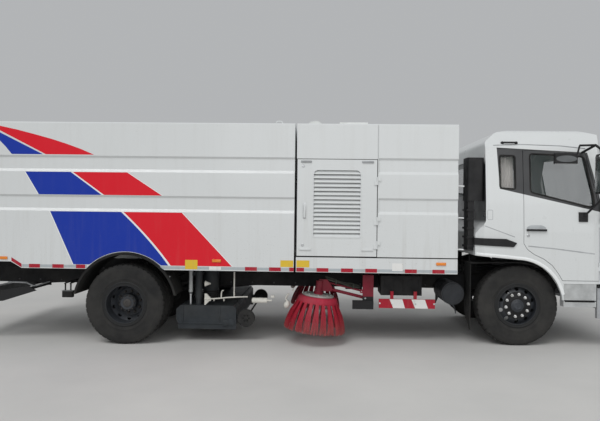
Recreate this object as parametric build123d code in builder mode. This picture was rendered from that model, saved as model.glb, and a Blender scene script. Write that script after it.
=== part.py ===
from build123d import *
import math
import os

# Street sweeper truck, in millimetres.
# The truck is drawn level: X forward from the rear axle, Y to its left, Z up from the ground under
# the rear wheels. SET_DOWN turns each finished piece nose down by RAKE about the rear hub and moves
# it back by X_MIDDLE, so that all wheels stand on flat ground and the origin is under the middle.

# Wheels and tyres
WHEELBASE = 5000
TYRE_R = 509
RIM_R = 285
BEAD_R = 252
RAKE = 0.52
RISE = WHEELBASE * math.tan(math.radians(RAKE))
REAR_HUB = (0, TYRE_R)
FRONT_HUB = (WHEELBASE, TYRE_R + RISE)
FRONT_WHEEL_Y = 947
REAR_OUTER_Y = 1078
REAR_INNER_Y = 782
HAND_HOLES = 10
HAND_HOLE_R = 26
HAND_HOLE_RING = 208
KINGPIN_Y = 850
KINGPIN_R = 20
SPINDLE_R = 38
DIFF_R = 205
PIN_GAP = 0.05
SEAT = 0.3

# Ladder frame
RAIL_TOP = 930
RAIL_BOTTOM = 680
RAIL_INNER = 355
RAIL_OUTER = 433
RAIL_T = 10
RAIL_WEB = RAIL_OUTER - RAIL_T
RAIL_REAR = -2150
RAIL_FRONT = 6120
SUB_TOP = 1030
TOW_PIN = (6250, 0)
TOW_PIN_R = 20
TOW_EARS = (562, 650)
TOW_EAR_T = 28
SUB_IN = 359
SUB_OUT = 429

# Body
HALF_W = 1250
WALL = 40
INNER_HALF = HALF_W - WALL
BODY_BOTTOM = 960
BODY_TOP = 2824
TOP_CHAMFER = 14
TAIL_X = -2350
GATE_T = 60
GATE_GAP = 6
HOPPER_FRONT = 2156
HOPPER_FLOOR = 1195
FLOOR_T = 20
HOUSING_REAR = 2182
HOUSING_FRONT = 4195
BAY_SPLIT = 3197
BAY_FLOOR = 1090
SKIRT_TOP = 1146
PANEL_FOOT = 1160
CHANNEL_TOPS = (2396, 1896)
CHANNEL = ((0, 0), (20, -24), (20, -168), (0, -204))
DOOR_HEAD = 2383
ARCH = (20, 505)
ARCH_R = 676
MUDGUARD_R = 640
SHEET = 8
TIP_HINGE = (-2150, 1080)
GATE_HINGE = (-2305, 2845)
GATE_PIN_R = 10
GATE_LUGS = (-950, -320, 320, 950)
GATE_FOOT = 1120
GATE_TOP = BODY_TOP - 5
LUG_BACK = GATE_HINGE[0] - 14
LUG_FRONT = -2240
TIP_PIN_R = 25
RAM_FOOT = (-1700, 760)
RAM_EYE = (-900, 1100)
RAM_Y = 270
RAM_R = 60
RAM_BORE_R = 46
ROD_R = 38
RAM_PIN_R = 22
BARREL_END = 610

# Cab
CAB_WALL = 45
CAB_TILT = (6235, 905)
TILT_PIN_R = 20
CAB_ARCH = (4950, 592)
CAB_ARCH_R = 556
DOOR_GAP = 6
HINGE_R = 9
DOOR_INNER_Y = 1156
GLASS_INSET = 14
GLASS_T = 8
FLOOR_LOW = 1150
FLOOR_HIGH = 1195
WHEEL_SEAT_Y = 500
GRILLE_SLATS = 5
GRILLE_PITCH = 88
GRILLE_SLOT = 66

# Air intake: its reach on each axis, with the top of the ribbed duct as the middle height
CAB_REAR = 4436
CAB_BACK = 4552
INTAKE_X = (4345, CAB_BACK - SEAT)
INTAKE_Y = (-1095, -850)
INTAKE_Z = (1250, 1880, 2430)
INTAKE_RIBS = 5
INTAKE_RIB_PITCH = 115

# Side brushes
BRUSH = (2465, 950, 610)
BRUSH_TILT = 6
BRUSH_R = 400
TUFT_COUNT = 28
TUFT_W = 50
PLATE_TOP = 34
ARM_PIN_R = 14
LINK_PIN_R = 9
ARM_Y = 905
ARM_ROOT = (3080, 600)
ARM_TIP = (2600, 712)
LINK_ROOT = (3030, 690)
LINK_TIP = (2550, 802)

# Suction nozzle
NOZZLE_REAR = 621
NOZZLE_FRONT = 1404
NOZZLE_Y = 1010
DUCT = (1000, 620)
DUCT_R = 98
AXLE_R = 12
NOZZLE_WHEEL = (1535, 323)
NOZZLE_WHEEL_R = 110

X_MIDDLE = 1990
SET_DOWN = Pos(-X_MIDDLE, 0, TYRE_R) * Rot(0, RAKE, 0) * Pos(0, 0, -TYRE_R)


# A block between two limits on each axis, and the same block on both sides of the truck
def slab(x0, x1, y0, y1, z0, z1, mode=Mode.ADD):
    with Locations(((x0 + x1) / 2, (y0 + y1) / 2, (z0 + z1) / 2)):
        Box(abs(x1 - x0), abs(y1 - y0), abs(z1 - z0), mode=mode)


def pair(x0, x1, y0, y1, z0, z1, mode=Mode.ADD):
    slab(x0, x1, y0, y1, z0, z1, mode)
    slab(x0, x1, -y0, -y1, z0, z1, mode)


# Round bars across, upright and lengthwise, and from one point to another
def across(x, z, r, y0, y1, mode=Mode.ADD):
    with Locations((x, (y0 + y1) / 2, z)):
        Cylinder(r, abs(y1 - y0), rotation=(90, 0, 0), mode=mode)


def across_pair(x, z, r, y0, y1, mode=Mode.ADD):
    across(x, z, r, y0, y1, mode)
    across(x, z, r, -y0, -y1, mode)


def upright(x, y, r, z0, z1, mode=Mode.ADD):
    with Locations((x, y, (z0 + z1) / 2)):
        Cylinder(r, abs(z1 - z0), mode=mode)


def bar(start, end, r, mode=Mode.ADD):
    run = Vector(*end) - Vector(*start)
    with BuildSketch(Plane(origin=start, z_dir=run)) as outline:
        Circle(r)
    extrude(outline.sketch, amount=run.length, mode=mode)


# A side-view outline of (x, z) points drawn out between y0 and y1, on one side or both
def side_form(points, y0, y1, mode=Mode.ADD):
    with BuildSketch(Plane.XZ.offset(-y1)) as outline:
        with BuildLine():
            Polyline(*points, close=True)
        make_face()
    extrude(outline.sketch, amount=y1 - y0, mode=mode)


def both_sides(points, y0, y1, mode=Mode.ADD):
    side_form(points, y0, y1, mode)
    side_form(points, -y1, -y0, mode)


# An outline of (radius, y) points turned about the cross axle through (x, z)
def spun(profile, x, z, mode=Mode.ADD):
    with BuildSketch(Plane(origin=(x, 0, z), x_dir=(1, 0, 0), z_dir=(0, 0, 1))) as outline:
        with BuildLine():
            Polyline(*profile, close=True)
        make_face()
    revolve(outline.sketch, axis=Axis((x, 0, z), (0, 1, 0)), mode=mode)


# Closed outline with a radius at each corner: rows of (a, b, radius)
def rounded_face(rows):
    with BuildLine() as outline:
        Polyline(*((a, b) for a, b, _ in rows), close=True)
    make_face(outline.edges())
    for a, b, radius in rows:
        if radius:
            fillet(vertices().sort_by_distance((a, b, 0))[0], radius)


# Cab outlines: side view of (x, z, radius), half section of (y, z, radius), half plan of (x, y, radius)
CAB_SIDE = (
    (CAB_REAR, 1192, 0),
    (CAB_REAR, 1470, 60),
    (CAB_BACK, 1620, 80),
    (CAB_BACK + 4, 2630, 90),
    (4720, 2768, 150),
    (5050, 2826, 500),
    (5750, 2806, 300),
    (6075, 2722, 70),
    (6125, 2590, 60),
    (6292, 1770, 120),
    (6322, 1480, 150),
    (6322, 858, 0),
    (4950, 858, 0),
    (4950, 1150, 0),
)
CAB_SECTION = (
    (1206, 600, 0),
    (1214, 1500, 500),
    (1196, 1860, 900),
    (1122, 2560, 120),
    (955, 2796, 160),
    (500, 2832, 0),
)
CAB_CORNERS = (
    (4420, 1140, 0),
    (4540, 1218, 90),
    (5900, 1218, 400),
    (6130, 1120, 260),
    (6280, 820, 500),
    (6330, 300, 0),
)
PILLAR_LEAN = 0.2


def mirrored(rows):
    return tuple((a, -b, r) for a, b, r in reversed(rows))


def cab_form(inset):
    with BuildPart() as form:
        with BuildSketch(Plane.XZ.offset(-1300)) as side:
            rounded_face(CAB_SIDE)
            with Locations(CAB_ARCH):
                Circle(CAB_ARCH_R, mode=Mode.SUBTRACT)
            if inset:
                offset(amount=-inset, kind=Kind.INTERSECTION)
        extrude(side.sketch, amount=2600)
        with BuildSketch(Plane.YZ.offset(4000)) as section:
            rounded_face(CAB_SECTION + tuple((-y, z, r) for y, z, r in reversed(CAB_SECTION)))
            if inset:
                offset(amount=-inset, kind=Kind.INTERSECTION)
        extrude(section.sketch, amount=2600, mode=Mode.INTERSECT)
        with BuildSketch(Plane.XY.offset(500)) as plan:
            rounded_face(CAB_CORNERS + mirrored(CAB_CORNERS))
            if inset:
                offset(amount=-inset, kind=Kind.INTERSECTION)
        extrude(plan.sketch, amount=2600, mode=Mode.INTERSECT)
        with BuildSketch(Plane.XY.offset(1770)) as lean:
            front = CAB_CORNERS[2:]
            rounded_face(((3000, 1400, 0),) + front + mirrored(front) + ((3000, -1400, 0),))
            if inset:
                offset(amount=-inset, kind=Kind.INTERSECTION)
        extrude(lean.sketch, amount=1400, dir=(-PILLAR_LEAN, 0, 1), both=True, mode=Mode.INTERSECT)
    return form.part


CAB_OUTER = cab_form(0)
CAB_INNER = cab_form(CAB_WALL)
GLASS_OUTER = cab_form(GLASS_INSET)
GLASS_INNER = cab_form(GLASS_INSET + GLASS_T)
GRILLE_FORM = cab_form(-14)
SLAT_FORM = cab_form(-28)

DOOR_LINE = (
    (5017, 1352),
    (5017, 2530),
    (5800, 2496),
    (5962, 1760),
    (5962, 893),
    (5500, 893),
    (5453, 975),
    (5374, 1080),
    (5266, 1160),
    (5150, 1214),
    (5064, 1278),
)
DOOR_UPPER = ((5017, 1500), (5017, 2530), (5800, 2496), (5962, 1760), (5962, 1500))
DOOR_WINDOW = ((5117, 1996), (5117, 2473), (5768, 2440), (5868, 1960), (5880, 1810))
DOOR_HINGE = (5959, 1199)
DOOR_HINGE_Z = (1020, 1560)
QUARTER_WINDOW = ((4736, 2053), (4736, 2446), (4916, 2440), (4916, 2040))
SCREEN_Y = 1000
SCREEN_Z = (1800, 2560)
REAR_WINDOW_Y = 640
REAR_WINDOW_Z = (1960, 2440)

# Chassis
CAB_BRACKET = ((6040, 700), (6040, 929), (6190, 935), (6262, 932), (6262, 880), (6215, 875), (6120, 700))
HINGE_PLATE = (
    (-2080, RAIL_TOP + SEAT),
    (-2200, RAIL_TOP + SEAT),
    (-2200, 1115),
    (-2115, 1125),
    (-2080, 1060),
)
CROSS_MEMBERS = (RAIL_REAR + 60, -700, 820, 2300, 3300, 4300, RAIL_FRONT - 60)
with BuildPart() as frame_rails:
    pair(RAIL_REAR, RAIL_FRONT, RAIL_INNER, RAIL_OUTER, RAIL_BOTTOM, RAIL_TOP)
    pair(
        RAIL_REAR - 1,
        RAIL_FRONT + 1,
        RAIL_INNER - 1,
        RAIL_WEB,
        RAIL_BOTTOM + RAIL_T,
        RAIL_TOP - RAIL_T,
        Mode.SUBTRACT,
    )
    for x in CROSS_MEMBERS:
        slab(x - 40, x + 40, SEAT - RAIL_WEB, RAIL_WEB - SEAT, 835, 905)
    # Cab hinge brackets at the rail ends
    both_sides(CAB_BRACKET, 403, 433)
    across_pair(*CAB_TILT, TILT_PIN_R, 403, 476)
    # Rests under the back of the cab
    both_sides(((4560, RAIL_TOP + SEAT), (4560, 1181.5), (4640, 1175), (4640, RAIL_TOP + SEAT)), 350, 430)

# Jaw in the middle of the front, with a towing pin's hole through both ears
with BuildPart() as towing_jaw:
    slab(6045, 6075, -60, 60, 560, 835 - SEAT)
    for z in TOW_EARS:
        slab(6075, 6330, -48, 48, z, z + TOW_EAR_T)
    upright(*TOW_PIN, TOW_PIN_R, TOW_EARS[0] - 1, TOW_EARS[1] + TOW_EAR_T + 1, Mode.SUBTRACT)

with BuildPart() as body_subframe:
    pair(RAIL_REAR + 95, HOUSING_FRONT, SUB_IN, SUB_OUT, RAIL_TOP + SEAT, SUB_TOP)
    for x in (2260, BAY_SPLIT, 4120):
        slab(x - 35, x + 35, SEAT - SUB_IN, SUB_IN - SEAT, 950, SUB_TOP)
        pair(x - 35, x + 35, SUB_OUT + SEAT, HALF_W - WALL - SEAT, 965, SUB_TOP)
    # Tipping hinge plates and pins, and the ram foot tube between the rails
    both_sides(HINGE_PLATE, 344, 358)
    across_pair(*TIP_HINGE, TIP_PIN_R, 344, 436)
    across(*RAM_FOOT, RAM_PIN_R, SEAT - RAIL_WEB, RAIL_WEB - SEAT)

SPRING_FRONT = (
    (4250, 679.7),
    (4620, 628),
    (5000, 600),
    (5380, 628),
    (5750, 679.7),
    (5750, 660),
    (5380, 588),
    (5100, 545.3),
    (4900, 545.3),
    (4620, 588),
    (4250, 660),
)
SPRING_REAR = (
    (-800, 755),
    (-420, 690),
    (0, 657),
    (420, 690),
    (800, 755),
    (800, 735),
    (420, 640),
    (150, 587.3),
    (-150, 587.3),
    (-420, 640),
    (-800, 735),
)
with BuildPart() as front_axle:
    slab(WHEELBASE - 50, WHEELBASE + 50, -690, 690, 455, 545)
    for side in (1, -1):
        upright(WHEELBASE, side * KINGPIN_Y, 45, 490, 618)
        slab(WHEELBASE - 44, WHEELBASE + 44, side * 650, side * (KINGPIN_Y - 20), 495, 610)
        upright(WHEELBASE, side * KINGPIN_Y, KINGPIN_R + PIN_GAP, 480, 640, Mode.SUBTRACT)
    both_sides(SPRING_FRONT, RAIL_INNER + 1, RAIL_OUTER - 1)

with BuildPart() as rear_axle:
    across(*REAR_HUB, 78, -640, 640)
    with Locations((0, 0, TYRE_R)):
        Sphere(DIFF_R)
    across(*REAR_HUB, SPINDLE_R, -1010, 1010)
    both_sides(SPRING_REAR, 482, 558)
    for x in (-800, 800):
        pair(x - 30, x + 30, RAIL_OUTER + SEAT, 558, 755.3, 880)

with BuildPart() as driveline:
    slab(5080, 5920, -320, 320, 620, 1120)
    pair(5200, 5300, 320 + SEAT, RAIL_WEB - SEAT, 760, 820)
    pair(5700, 5800, 320 + SEAT, RAIL_WEB - SEAT, 760, 820)
    slab(4560, 5080 - SEAT, -180, 180, 640, 960)
    bar((4560 - SEAT, 0, 780), (2300, 0, 740), 45)
    bar((2300, 0, 740), (180, 0, 540), 45)
    with Locations((2300, 0, 740)):
        Sphere(70)
    slab(2280, 2320, -30, 30, 800, 835 - SEAT)
    with Locations((0, 0, TYRE_R)):
        Sphere(DIFF_R + SEAT, mode=Mode.SUBTRACT)

# Fuel tank on the left and the round air tank across on the right, with their brackets
with BuildPart() as chassis_tanks:
    with BuildSketch(Plane.YZ.offset(3281)) as tank:
        with Locations((760, 770)):
            RectangleRounded(400, 310, 60)
    extrude(tank.sketch, amount=880)
    for x in (3420, 3960):
        slab(x, x + 50, RAIL_OUTER + SEAT, 600, 700, 780)
    across(4200, 683, 145, -985, -480)
    slab(4180, 4220, -500, -RAIL_OUTER - SEAT, 700, 780)

with BuildPart() as battery_box:
    slab(3281, 3808, -960, -560, 645, 895)
    for x in (3330, 3700):
        slab(x, x + 50, -570, -RAIL_OUTER - SEAT, 800, 860)

with BuildPart() as side_guards:
    pair(3250, 3970, 990, 1012, 487, 604)
    pair(3400, 3440, 960 + SEAT, 992, 560, 700)
    pair(3700, 3740, 960 + SEAT, 992, 560, 700)

FRONT_GUARD = (
    (4392, 1084),
    (4392, 1094),
    (4700, 1104),
    (5000, 1112),
    (5190, 1078),
    (5262, 1045),
    (5256, 1037),
    (5186, 1069),
    (5000, 1102),
    (4700, 1094),
)
FLAP = ((790, 1086), (790, 437), (1085, 237), (1085, 1086))
with BuildPart() as mudguards:
    for side in (1, -1):
        # Rear: a curved sheet over both tyres with a thick rubber lip outside
        for y0, y1, outer in ((735, 1216, MUDGUARD_R + SHEET), (1214, 1264, MUDGUARD_R + 28)):
            low, high = sorted((side * y0, side * y1))
            with BuildSketch(Plane.XZ.offset(-high)) as band:
                with Locations(ARCH):
                    Circle(outer)
                    Circle(MUDGUARD_R, mode=Mode.SUBTRACT)
                    with Locations((0, -MUDGUARD_R)):
                        Rectangle(3 * MUDGUARD_R, 2 * MUDGUARD_R + 270, mode=Mode.SUBTRACT)
            extrude(band.sketch, amount=high - low)
        for x in (-537, 577):
            across(x, 826, 16, side * (RAIL_OUTER + SEAT), side * 745)
        # Front: a bent sheet over the tyre, and a hanging flap behind it
        low, high = sorted((side * 800, side * 1110))
        side_form(FRONT_GUARD, low, high)
        with BuildSketch(Plane.YZ.offset(4392)) as flap:
            with BuildLine():
                Polyline(*((side * y, z) for y, z in FLAP), close=True)
            make_face()
        extrude(flap.sketch, amount=12)
        across(4450, 1070, 15, side * (RAIL_OUTER + SEAT), side * 806)
        across(4450, 905, 12, side * (RAIL_OUTER + SEAT), side * 450)
        upright(4450, side * 450, 12, 905, 1070)

REAR_SIDE_BAR = ((-1230, 640), (-1665, 500), (-2189.7, 470), (-2189.7, 570), (-1665, 640), (-1330, 700))
BUMPER_PLAN = (
    (5932, 1150, 0),
    (5932, 1206, 0),
    (6130, 1206, 160),
    (6300, 980, 220),
    (6345, 500, 0),
)
BUMPER_BACK = ((5900, 1151, 0), (6100, 1151, 120), (6245, 930, 180), (6285, 500, 0))
with BuildPart(mode=Mode.PRIVATE) as bumper_form:
    with BuildSketch(Plane.XY.offset(432)) as front:
        rounded_face(BUMPER_PLAN + mirrored(BUMPER_PLAN))
    extrude(front.sketch, amount=373)
    with BuildSketch(Plane.XY.offset(400)) as hollow:
        rounded_face(BUMPER_BACK + mirrored(BUMPER_BACK))
    extrude(hollow.sketch, amount=500, mode=Mode.SUBTRACT)

with BuildPart() as bumpers:
    add(bumper_form.part)
    slab(6200, 6400, -120, 120, 545, 700, Mode.SUBTRACT)
    pair(6150, 6400, 700, 990, 560, 730, Mode.SUBTRACT)
    pair(RAIL_FRONT + SEAT, 6290, RAIL_INNER, 395, 690, 795)
    slab(-2290, -2190, -1130, 1130, 455, 575)
    pair(-2255, -2170, RAIL_INNER, RAIL_OUTER, 575 + SEAT, RAIL_BOTTOM - SEAT)
    both_sides(REAR_SIDE_BAR, 1000, 1030)
    across_pair(-1320, 665, 20, RAIL_OUTER + SEAT, 1000 - SEAT)
    pair(-1345, -1295, RAIL_OUTER + SEAT, RAIL_OUTER + 12, 640, 690)

with BuildPart() as lamps:
    add(bumper_form.part)
    slab(6150, 6400, SEAT - 990, 990 - SEAT, 560 + SEAT, 730 - SEAT, Mode.INTERSECT)
    slab(6150, 6400, -700 - SEAT, 700 + SEAT, 560, 730, Mode.SUBTRACT)
    pair(-2325, -2290 - SEAT, 760, 1060, 465, 565)

# Beacon, vent box
with BuildPart() as roof_beacon:
    with Locations((2405, -900, BODY_TOP - 55)):
        Sphere(143)
    slab(2200, 2600, -1100, -700, BODY_TOP - 300, BODY_TOP + 30, Mode.SUBTRACT)
    upright(2405, -900, 118, BODY_TOP + SEAT, BODY_TOP + 30)
    slab(2720, 3080, -1040, -760, BODY_TOP + SEAT, BODY_TOP + 48)


def channels(x0, x1):
    for top in CHANNEL_TOPS:
        for side in (1, -1):
            rows = [(side * (HALF_W + 1), top), (side * (HALF_W + 1), top + CHANNEL[3][1])]
            rows = rows + [(side * (HALF_W - d), top + h) for d, h in reversed(CHANNEL)]
            with BuildSketch(Plane.YZ.offset(x0)) as cut:
                with BuildLine():
                    Polyline(*rows, close=True)
                make_face()
            extrude(cut.sketch, amount=x1 - x0, mode=Mode.SUBTRACT)


BAY_HINGE = (3192, 1262)
BAY_HINGE_Z = (1260, 1560, 2060)
# Fixed housing: engine bay behind its louvred doors, and a closed water tank ahead of it
with BuildPart() as engine_housing:
    slab(HOUSING_REAR, HOUSING_FRONT, -HALF_W, HALF_W, BODY_BOTTOM, BODY_TOP)
    chamfer(edges().filter_by(Axis.X).group_by(Axis.Z)[-1], TOP_CHAMFER)
    half_wall = WALL / 2
    for x0, x1 in ((HOUSING_REAR + WALL, BAY_SPLIT - half_wall), (BAY_SPLIT + half_wall, HOUSING_FRONT - WALL)):
        slab(x0, x1, -INNER_HALF, INNER_HALF, BAY_FLOOR, BODY_TOP - WALL, Mode.SUBTRACT)
    under = (BODY_BOTTOM - 1, SUB_TOP + SEAT)
    slab(HOUSING_REAR - 1, HOUSING_FRONT + 1, -INNER_HALF, INNER_HALF, *under, Mode.SUBTRACT)
    pair(HOUSING_REAR - 1, BAY_SPLIT, HALF_W - WALL - 1, HALF_W + 1, SKIRT_TOP, DOOR_HEAD, Mode.SUBTRACT)
    pair(BAY_SPLIT - 1, HOUSING_FRONT + 1, HALF_W - 22, HALF_W + 1, SKIRT_TOP, PANEL_FOOT, Mode.SUBTRACT)
    channels(BAY_SPLIT + 8, HOUSING_FRONT + 1)
    pair(BAY_SPLIT - 6, BAY_SPLIT + 6, HALF_W - 14, HALF_W + 1, DOOR_HEAD, BODY_TOP + 1, Mode.SUBTRACT)
    for z in BAY_HINGE_Z:
        for side in (1, -1):
            upright(BAY_HINGE[0], side * BAY_HINGE[1], HINGE_R, z + 50 + SEAT, z + 100)
            leaf = (side * (HALF_W - 2), side * (BAY_HINGE[1] + 2), z + 50 + SEAT, z + 100)
            slab(BAY_HINGE[0] + 6, BAY_HINGE[0] + 40, *leaf)

LOUVRE_X = (2393, 2984)
LOUVRE_Z = (1400, 2240)
SLATS = 16
SLAT_SECTION = ((0, 2), (0, 14), (28, 50), (34, 50))
SLAT_PITCH = (LOUVRE_Z[1] - LOUVRE_Z[0]) / SLATS
with BuildPart() as right_engine_door:
    slab(HOUSING_REAR + 8, BAY_SPLIT - 10, -HALF_W, 36 - HALF_W, PANEL_FOOT + 4, DOOR_HEAD - 8)
    slab(*LOUVRE_X, -HALF_W - 1, 40 - HALF_W, *LOUVRE_Z, Mode.SUBTRACT)
    for row in range(SLATS):
        foot = LOUVRE_Z[0] + row * SLAT_PITCH
        with BuildSketch(Plane.YZ.offset(LOUVRE_X[0] - 2)) as slat:
            with BuildLine():
                Polyline(*((y - HALF_W, foot + z) for y, z in SLAT_SECTION), close=True)
            make_face()
        extrude(slat.sketch, amount=LOUVRE_X[1] - LOUVRE_X[0] + 4)
    for z in BAY_HINGE_Z:
        upright(BAY_HINGE[0], -BAY_HINGE[1], HINGE_R, z, z + 50)
        slab(BAY_HINGE[0] - 40, BAY_HINGE[0] - 6, -BAY_HINGE[1] - 2, 2 - HALF_W, z, z + 50)
    slab(2272, 2292, -HALF_W - 22, -HALF_W - 14, 1645, 1818)
    slab(2272, 2292, -HALF_W - 16, -HALF_W + 2, 1645, 1665)
    slab(2272, 2292, -HALF_W - 16, -HALF_W + 2, 1798, 1818)

with BuildPart() as left_engine_door:
    mirror(right_engine_door.part, about=Plane.XZ)

with BuildPart() as sweeper_engine:
    slab(2330, 3050, -400, 400, BAY_FLOOR + 100, 1850)
    pair(2400, 2500, 300, 380, BAY_FLOOR + SEAT, BAY_FLOOR + 100)
    pair(2880, 2980, 300, 380, BAY_FLOOR + SEAT, BAY_FLOOR + 100)


ARCH_FOOT = ((5436, 862), (5518, 862), (5518, 652), (5504, 652), (5499, 700), (5484, 750), (5464, 800))
# Cab: a welded shell with places for the doors and windows, and a floor over the engine
with BuildPart(mode=Mode.PRIVATE) as floor_space:
    with BuildSketch(Plane.XY.offset(600)) as plan:
        rounded_face(CAB_CORNERS + mirrored(CAB_CORNERS))
        offset(amount=-CAB_WALL, kind=Kind.INTERSECTION)
    extrude(plan.sketch, amount=FLOOR_LOW - 600)
    slab(4900, 6400, -1150, 1150, 600, FLOOR_LOW, Mode.INTERSECT)

with BuildPart(mode=Mode.PRIVATE) as cab_floor:
    add(CAB_OUTER)
    slab(4940, 6400, -1300, 1300, FLOOR_LOW, FLOOR_HIGH, Mode.INTERSECT)

with BuildPart() as cab_shell:
    add(CAB_OUTER)
    add(CAB_INNER, mode=Mode.SUBTRACT)
    add(floor_space.part, mode=Mode.SUBTRACT)
    add(cab_floor.part)
    both_sides(DOOR_LINE, DOOR_INNER_Y - DOOR_GAP, 1300, Mode.SUBTRACT)
    both_sides(DOOR_UPPER, 1000, 1300, Mode.SUBTRACT)
    both_sides(QUARTER_WINDOW, 1000, 1300, Mode.SUBTRACT)
    slab(6050, 6400, -SCREEN_Y, SCREEN_Y, *SCREEN_Z, Mode.SUBTRACT)
    slab(4400, 4600, -REAR_WINDOW_Y, REAR_WINDOW_Y, *REAR_WINDOW_Z, Mode.SUBTRACT)
    # Foot of the wheel arch behind the step
    both_sides(ARCH_FOOT, 1170, 1210)
    # Tilting lugs
    both_sides(((6180, 1152), (6285, 1152), (6285, 925), (6262, 880), (6215, 880), (6200, 905)), 437, 470)
    across_pair(*CAB_TILT, TILT_PIN_R + PIN_GAP, 430, 480, Mode.SUBTRACT)
    # Fixed knuckles of the door hinges, above gaps for the doors' own
    for z in DOOR_HINGE_Z:
        for side in (1, -1):
            upright(DOOR_HINGE[0], side * DOOR_HINGE[1], HINGE_R + 4, z - 3, z + 50, Mode.SUBTRACT)
            upright(DOOR_HINGE[0], side * DOOR_HINGE[1], HINGE_R, z + 50 + SEAT, z + 100)
            slab(DOOR_HINGE[0], DOOR_HINGE[0] + 30, side * 1165, side * 1199, z + 50 + SEAT, z + 100)

with BuildPart() as right_door:
    add(CAB_OUTER)
    add(CAB_INNER, mode=Mode.SUBTRACT)
    with BuildSketch(Plane.XZ.offset(1000)) as outline:
        with BuildLine():
            Polyline(*DOOR_LINE, close=True)
        make_face()
        offset(amount=-DOOR_GAP, kind=Kind.INTERSECTION)
    extrude(outline.sketch, amount=400, mode=Mode.INTERSECT)
    slab(5000, 6000, -DOOR_INNER_Y, -990, 880, 1500 + DOOR_GAP, Mode.SUBTRACT)
    side_form(DOOR_WINDOW, -1400, -1000, Mode.SUBTRACT)
    for z in DOOR_HINGE_Z:
        upright(DOOR_HINGE[0], -DOOR_HINGE[1], HINGE_R + 4, z + 50, z + 103, Mode.SUBTRACT)
        upright(DOOR_HINGE[0], -DOOR_HINGE[1], HINGE_R, z, z + 50)
        slab(DOOR_HINGE[0] - 30, DOOR_HINGE[0], -1199, -1165, z, z + 50)

with BuildPart() as left_door:
    mirror(right_door.part, about=Plane.XZ)

with BuildPart(mode=Mode.PRIVATE) as glass_skin:
    add(GLASS_OUTER)
    add(GLASS_INNER, mode=Mode.SUBTRACT)

with BuildPart() as right_door_glass:
    add(glass_skin.part)
    side_form(DOOR_WINDOW, -1400, -1000, Mode.INTERSECT)

with BuildPart() as left_door_glass:
    mirror(right_door_glass.part, about=Plane.XZ)

with BuildPart(mode=Mode.PRIVATE) as window_places:
    slab(6050, 6400, -SCREEN_Y, SCREEN_Y, *SCREEN_Z)
    slab(4400, 4600, -REAR_WINDOW_Y, REAR_WINDOW_Y, *REAR_WINDOW_Z)
    both_sides(QUARTER_WINDOW, 1000, 1300)

with BuildPart() as cab_glass:
    add(glass_skin.part)
    add(window_places.part, mode=Mode.INTERSECT)

# Mirrors on their arms, and the door's handle
with BuildPart() as right_door_fittings:
    bar((5750, -1100, 2490), (5830, -1330, 2572), 15)
    bar((5830, -1330, 2572), (5872, -1400, 2510), 15)
    bar((5640, -1330, 2566), (5830, -1330, 2572), 13)
    bar((5872, -1400, 2520), (5872, -1400, 1900), 13)
    bar((5872, -1400, 1900), (5745, -1212, 1690), 13)
    for joint in ((5830, -1330, 2572), (5872, -1400, 1900)):
        with Locations(joint):
            Sphere(15)
    slab(5692, 5801, -1222, -1180, 1631, 1750)
    slab(5715, 5790, -1120, -1060, 2455, 2510)
    with BuildSketch(Plane.XY.offset(1975)) as head:
        with Locations((5872, -1415)):
            RectangleRounded(70, 210, 30)
    extrude(head.sketch, amount=480)
    with BuildSketch(Plane.XY.offset(2342)) as kerb:
        with Locations((5474, -1325)):
            RectangleRounded(285, 60, 25)
    extrude(kerb.sketch, amount=124)
    bar((5600, -1325, 2400), (5640, -1330, 2566), 11)
    slab(5052, 5294, -1242, -1226, 1510, 1534)
    slab(5052, 5074, -1242, -1190, 1510, 1534)
    slab(5272, 5294, -1242, -1190, 1510, 1534)
    add(CAB_OUTER, mode=Mode.SUBTRACT)

with BuildPart() as left_door_fittings:
    mirror(right_door_fittings.part, about=Plane.XZ)

with BuildPart() as front_grille:
    add(GRILLE_FORM)
    slab(6200, 6400, -860, 860, 1010, 1490, Mode.INTERSECT)
    for row in range(GRILLE_SLATS):
        foot = 1035 + row * GRILLE_PITCH
        slab(6200, 6400, -820, 820, foot, foot + GRILLE_SLOT, Mode.SUBTRACT)
    add(CAB_OUTER, mode=Mode.SUBTRACT)

TRIM_WEDGE = ((4423, 1414), (4803, 1406), (4933, 1357), (4894, 1305), (4424, 1327))
with BuildPart() as cab_trim:
    add(GRILLE_FORM)
    side_form(TRIM_WEDGE, -1300, 1300, Mode.INTERSECT)
    slab(4400, 4950, -1100, 1100, 1300, 1420, Mode.SUBTRACT)
    add(CAB_OUTER, mode=Mode.SUBTRACT)

with BuildPart() as dashboard:
    add(CAB_INNER)
    slab(5950, 6400, -1140, 1140, 1450, 1720, Mode.INTERSECT)
    bar((5970, WHEEL_SEAT_Y, 1600), (5750, WHEEL_SEAT_Y, 1740), 25)
    with Locations(Plane(origin=(5745, WHEEL_SEAT_Y, 1743), z_dir=(-220, 0, 140))):
        Torus(210, 15)
        Cylinder(50, 30)
        Box(400, 36, 14)

SEAT_SIDE = (
    (5080, FLOOR_HIGH + SEAT),
    (5080, 1450),
    (5060, 1560),
    (5560, 1590),
    (5590, 1480),
    (5520, FLOOR_HIGH + SEAT),
)
SEAT_BACK = ((4930, 2220), (5010, 2235), (5150, 1575), (5070, 1540))
with BuildPart() as cab_seats:
    for side in (1, -1):
        low, high = sorted((side * 260, side * 740))
        side_form(SEAT_SIDE, low, high)
        side_form(SEAT_BACK, low + 10, high - 10)

with BuildPart() as side_curtain:
    slab(4720, 4930, -1088, -1080, 2030, 2450)

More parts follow.
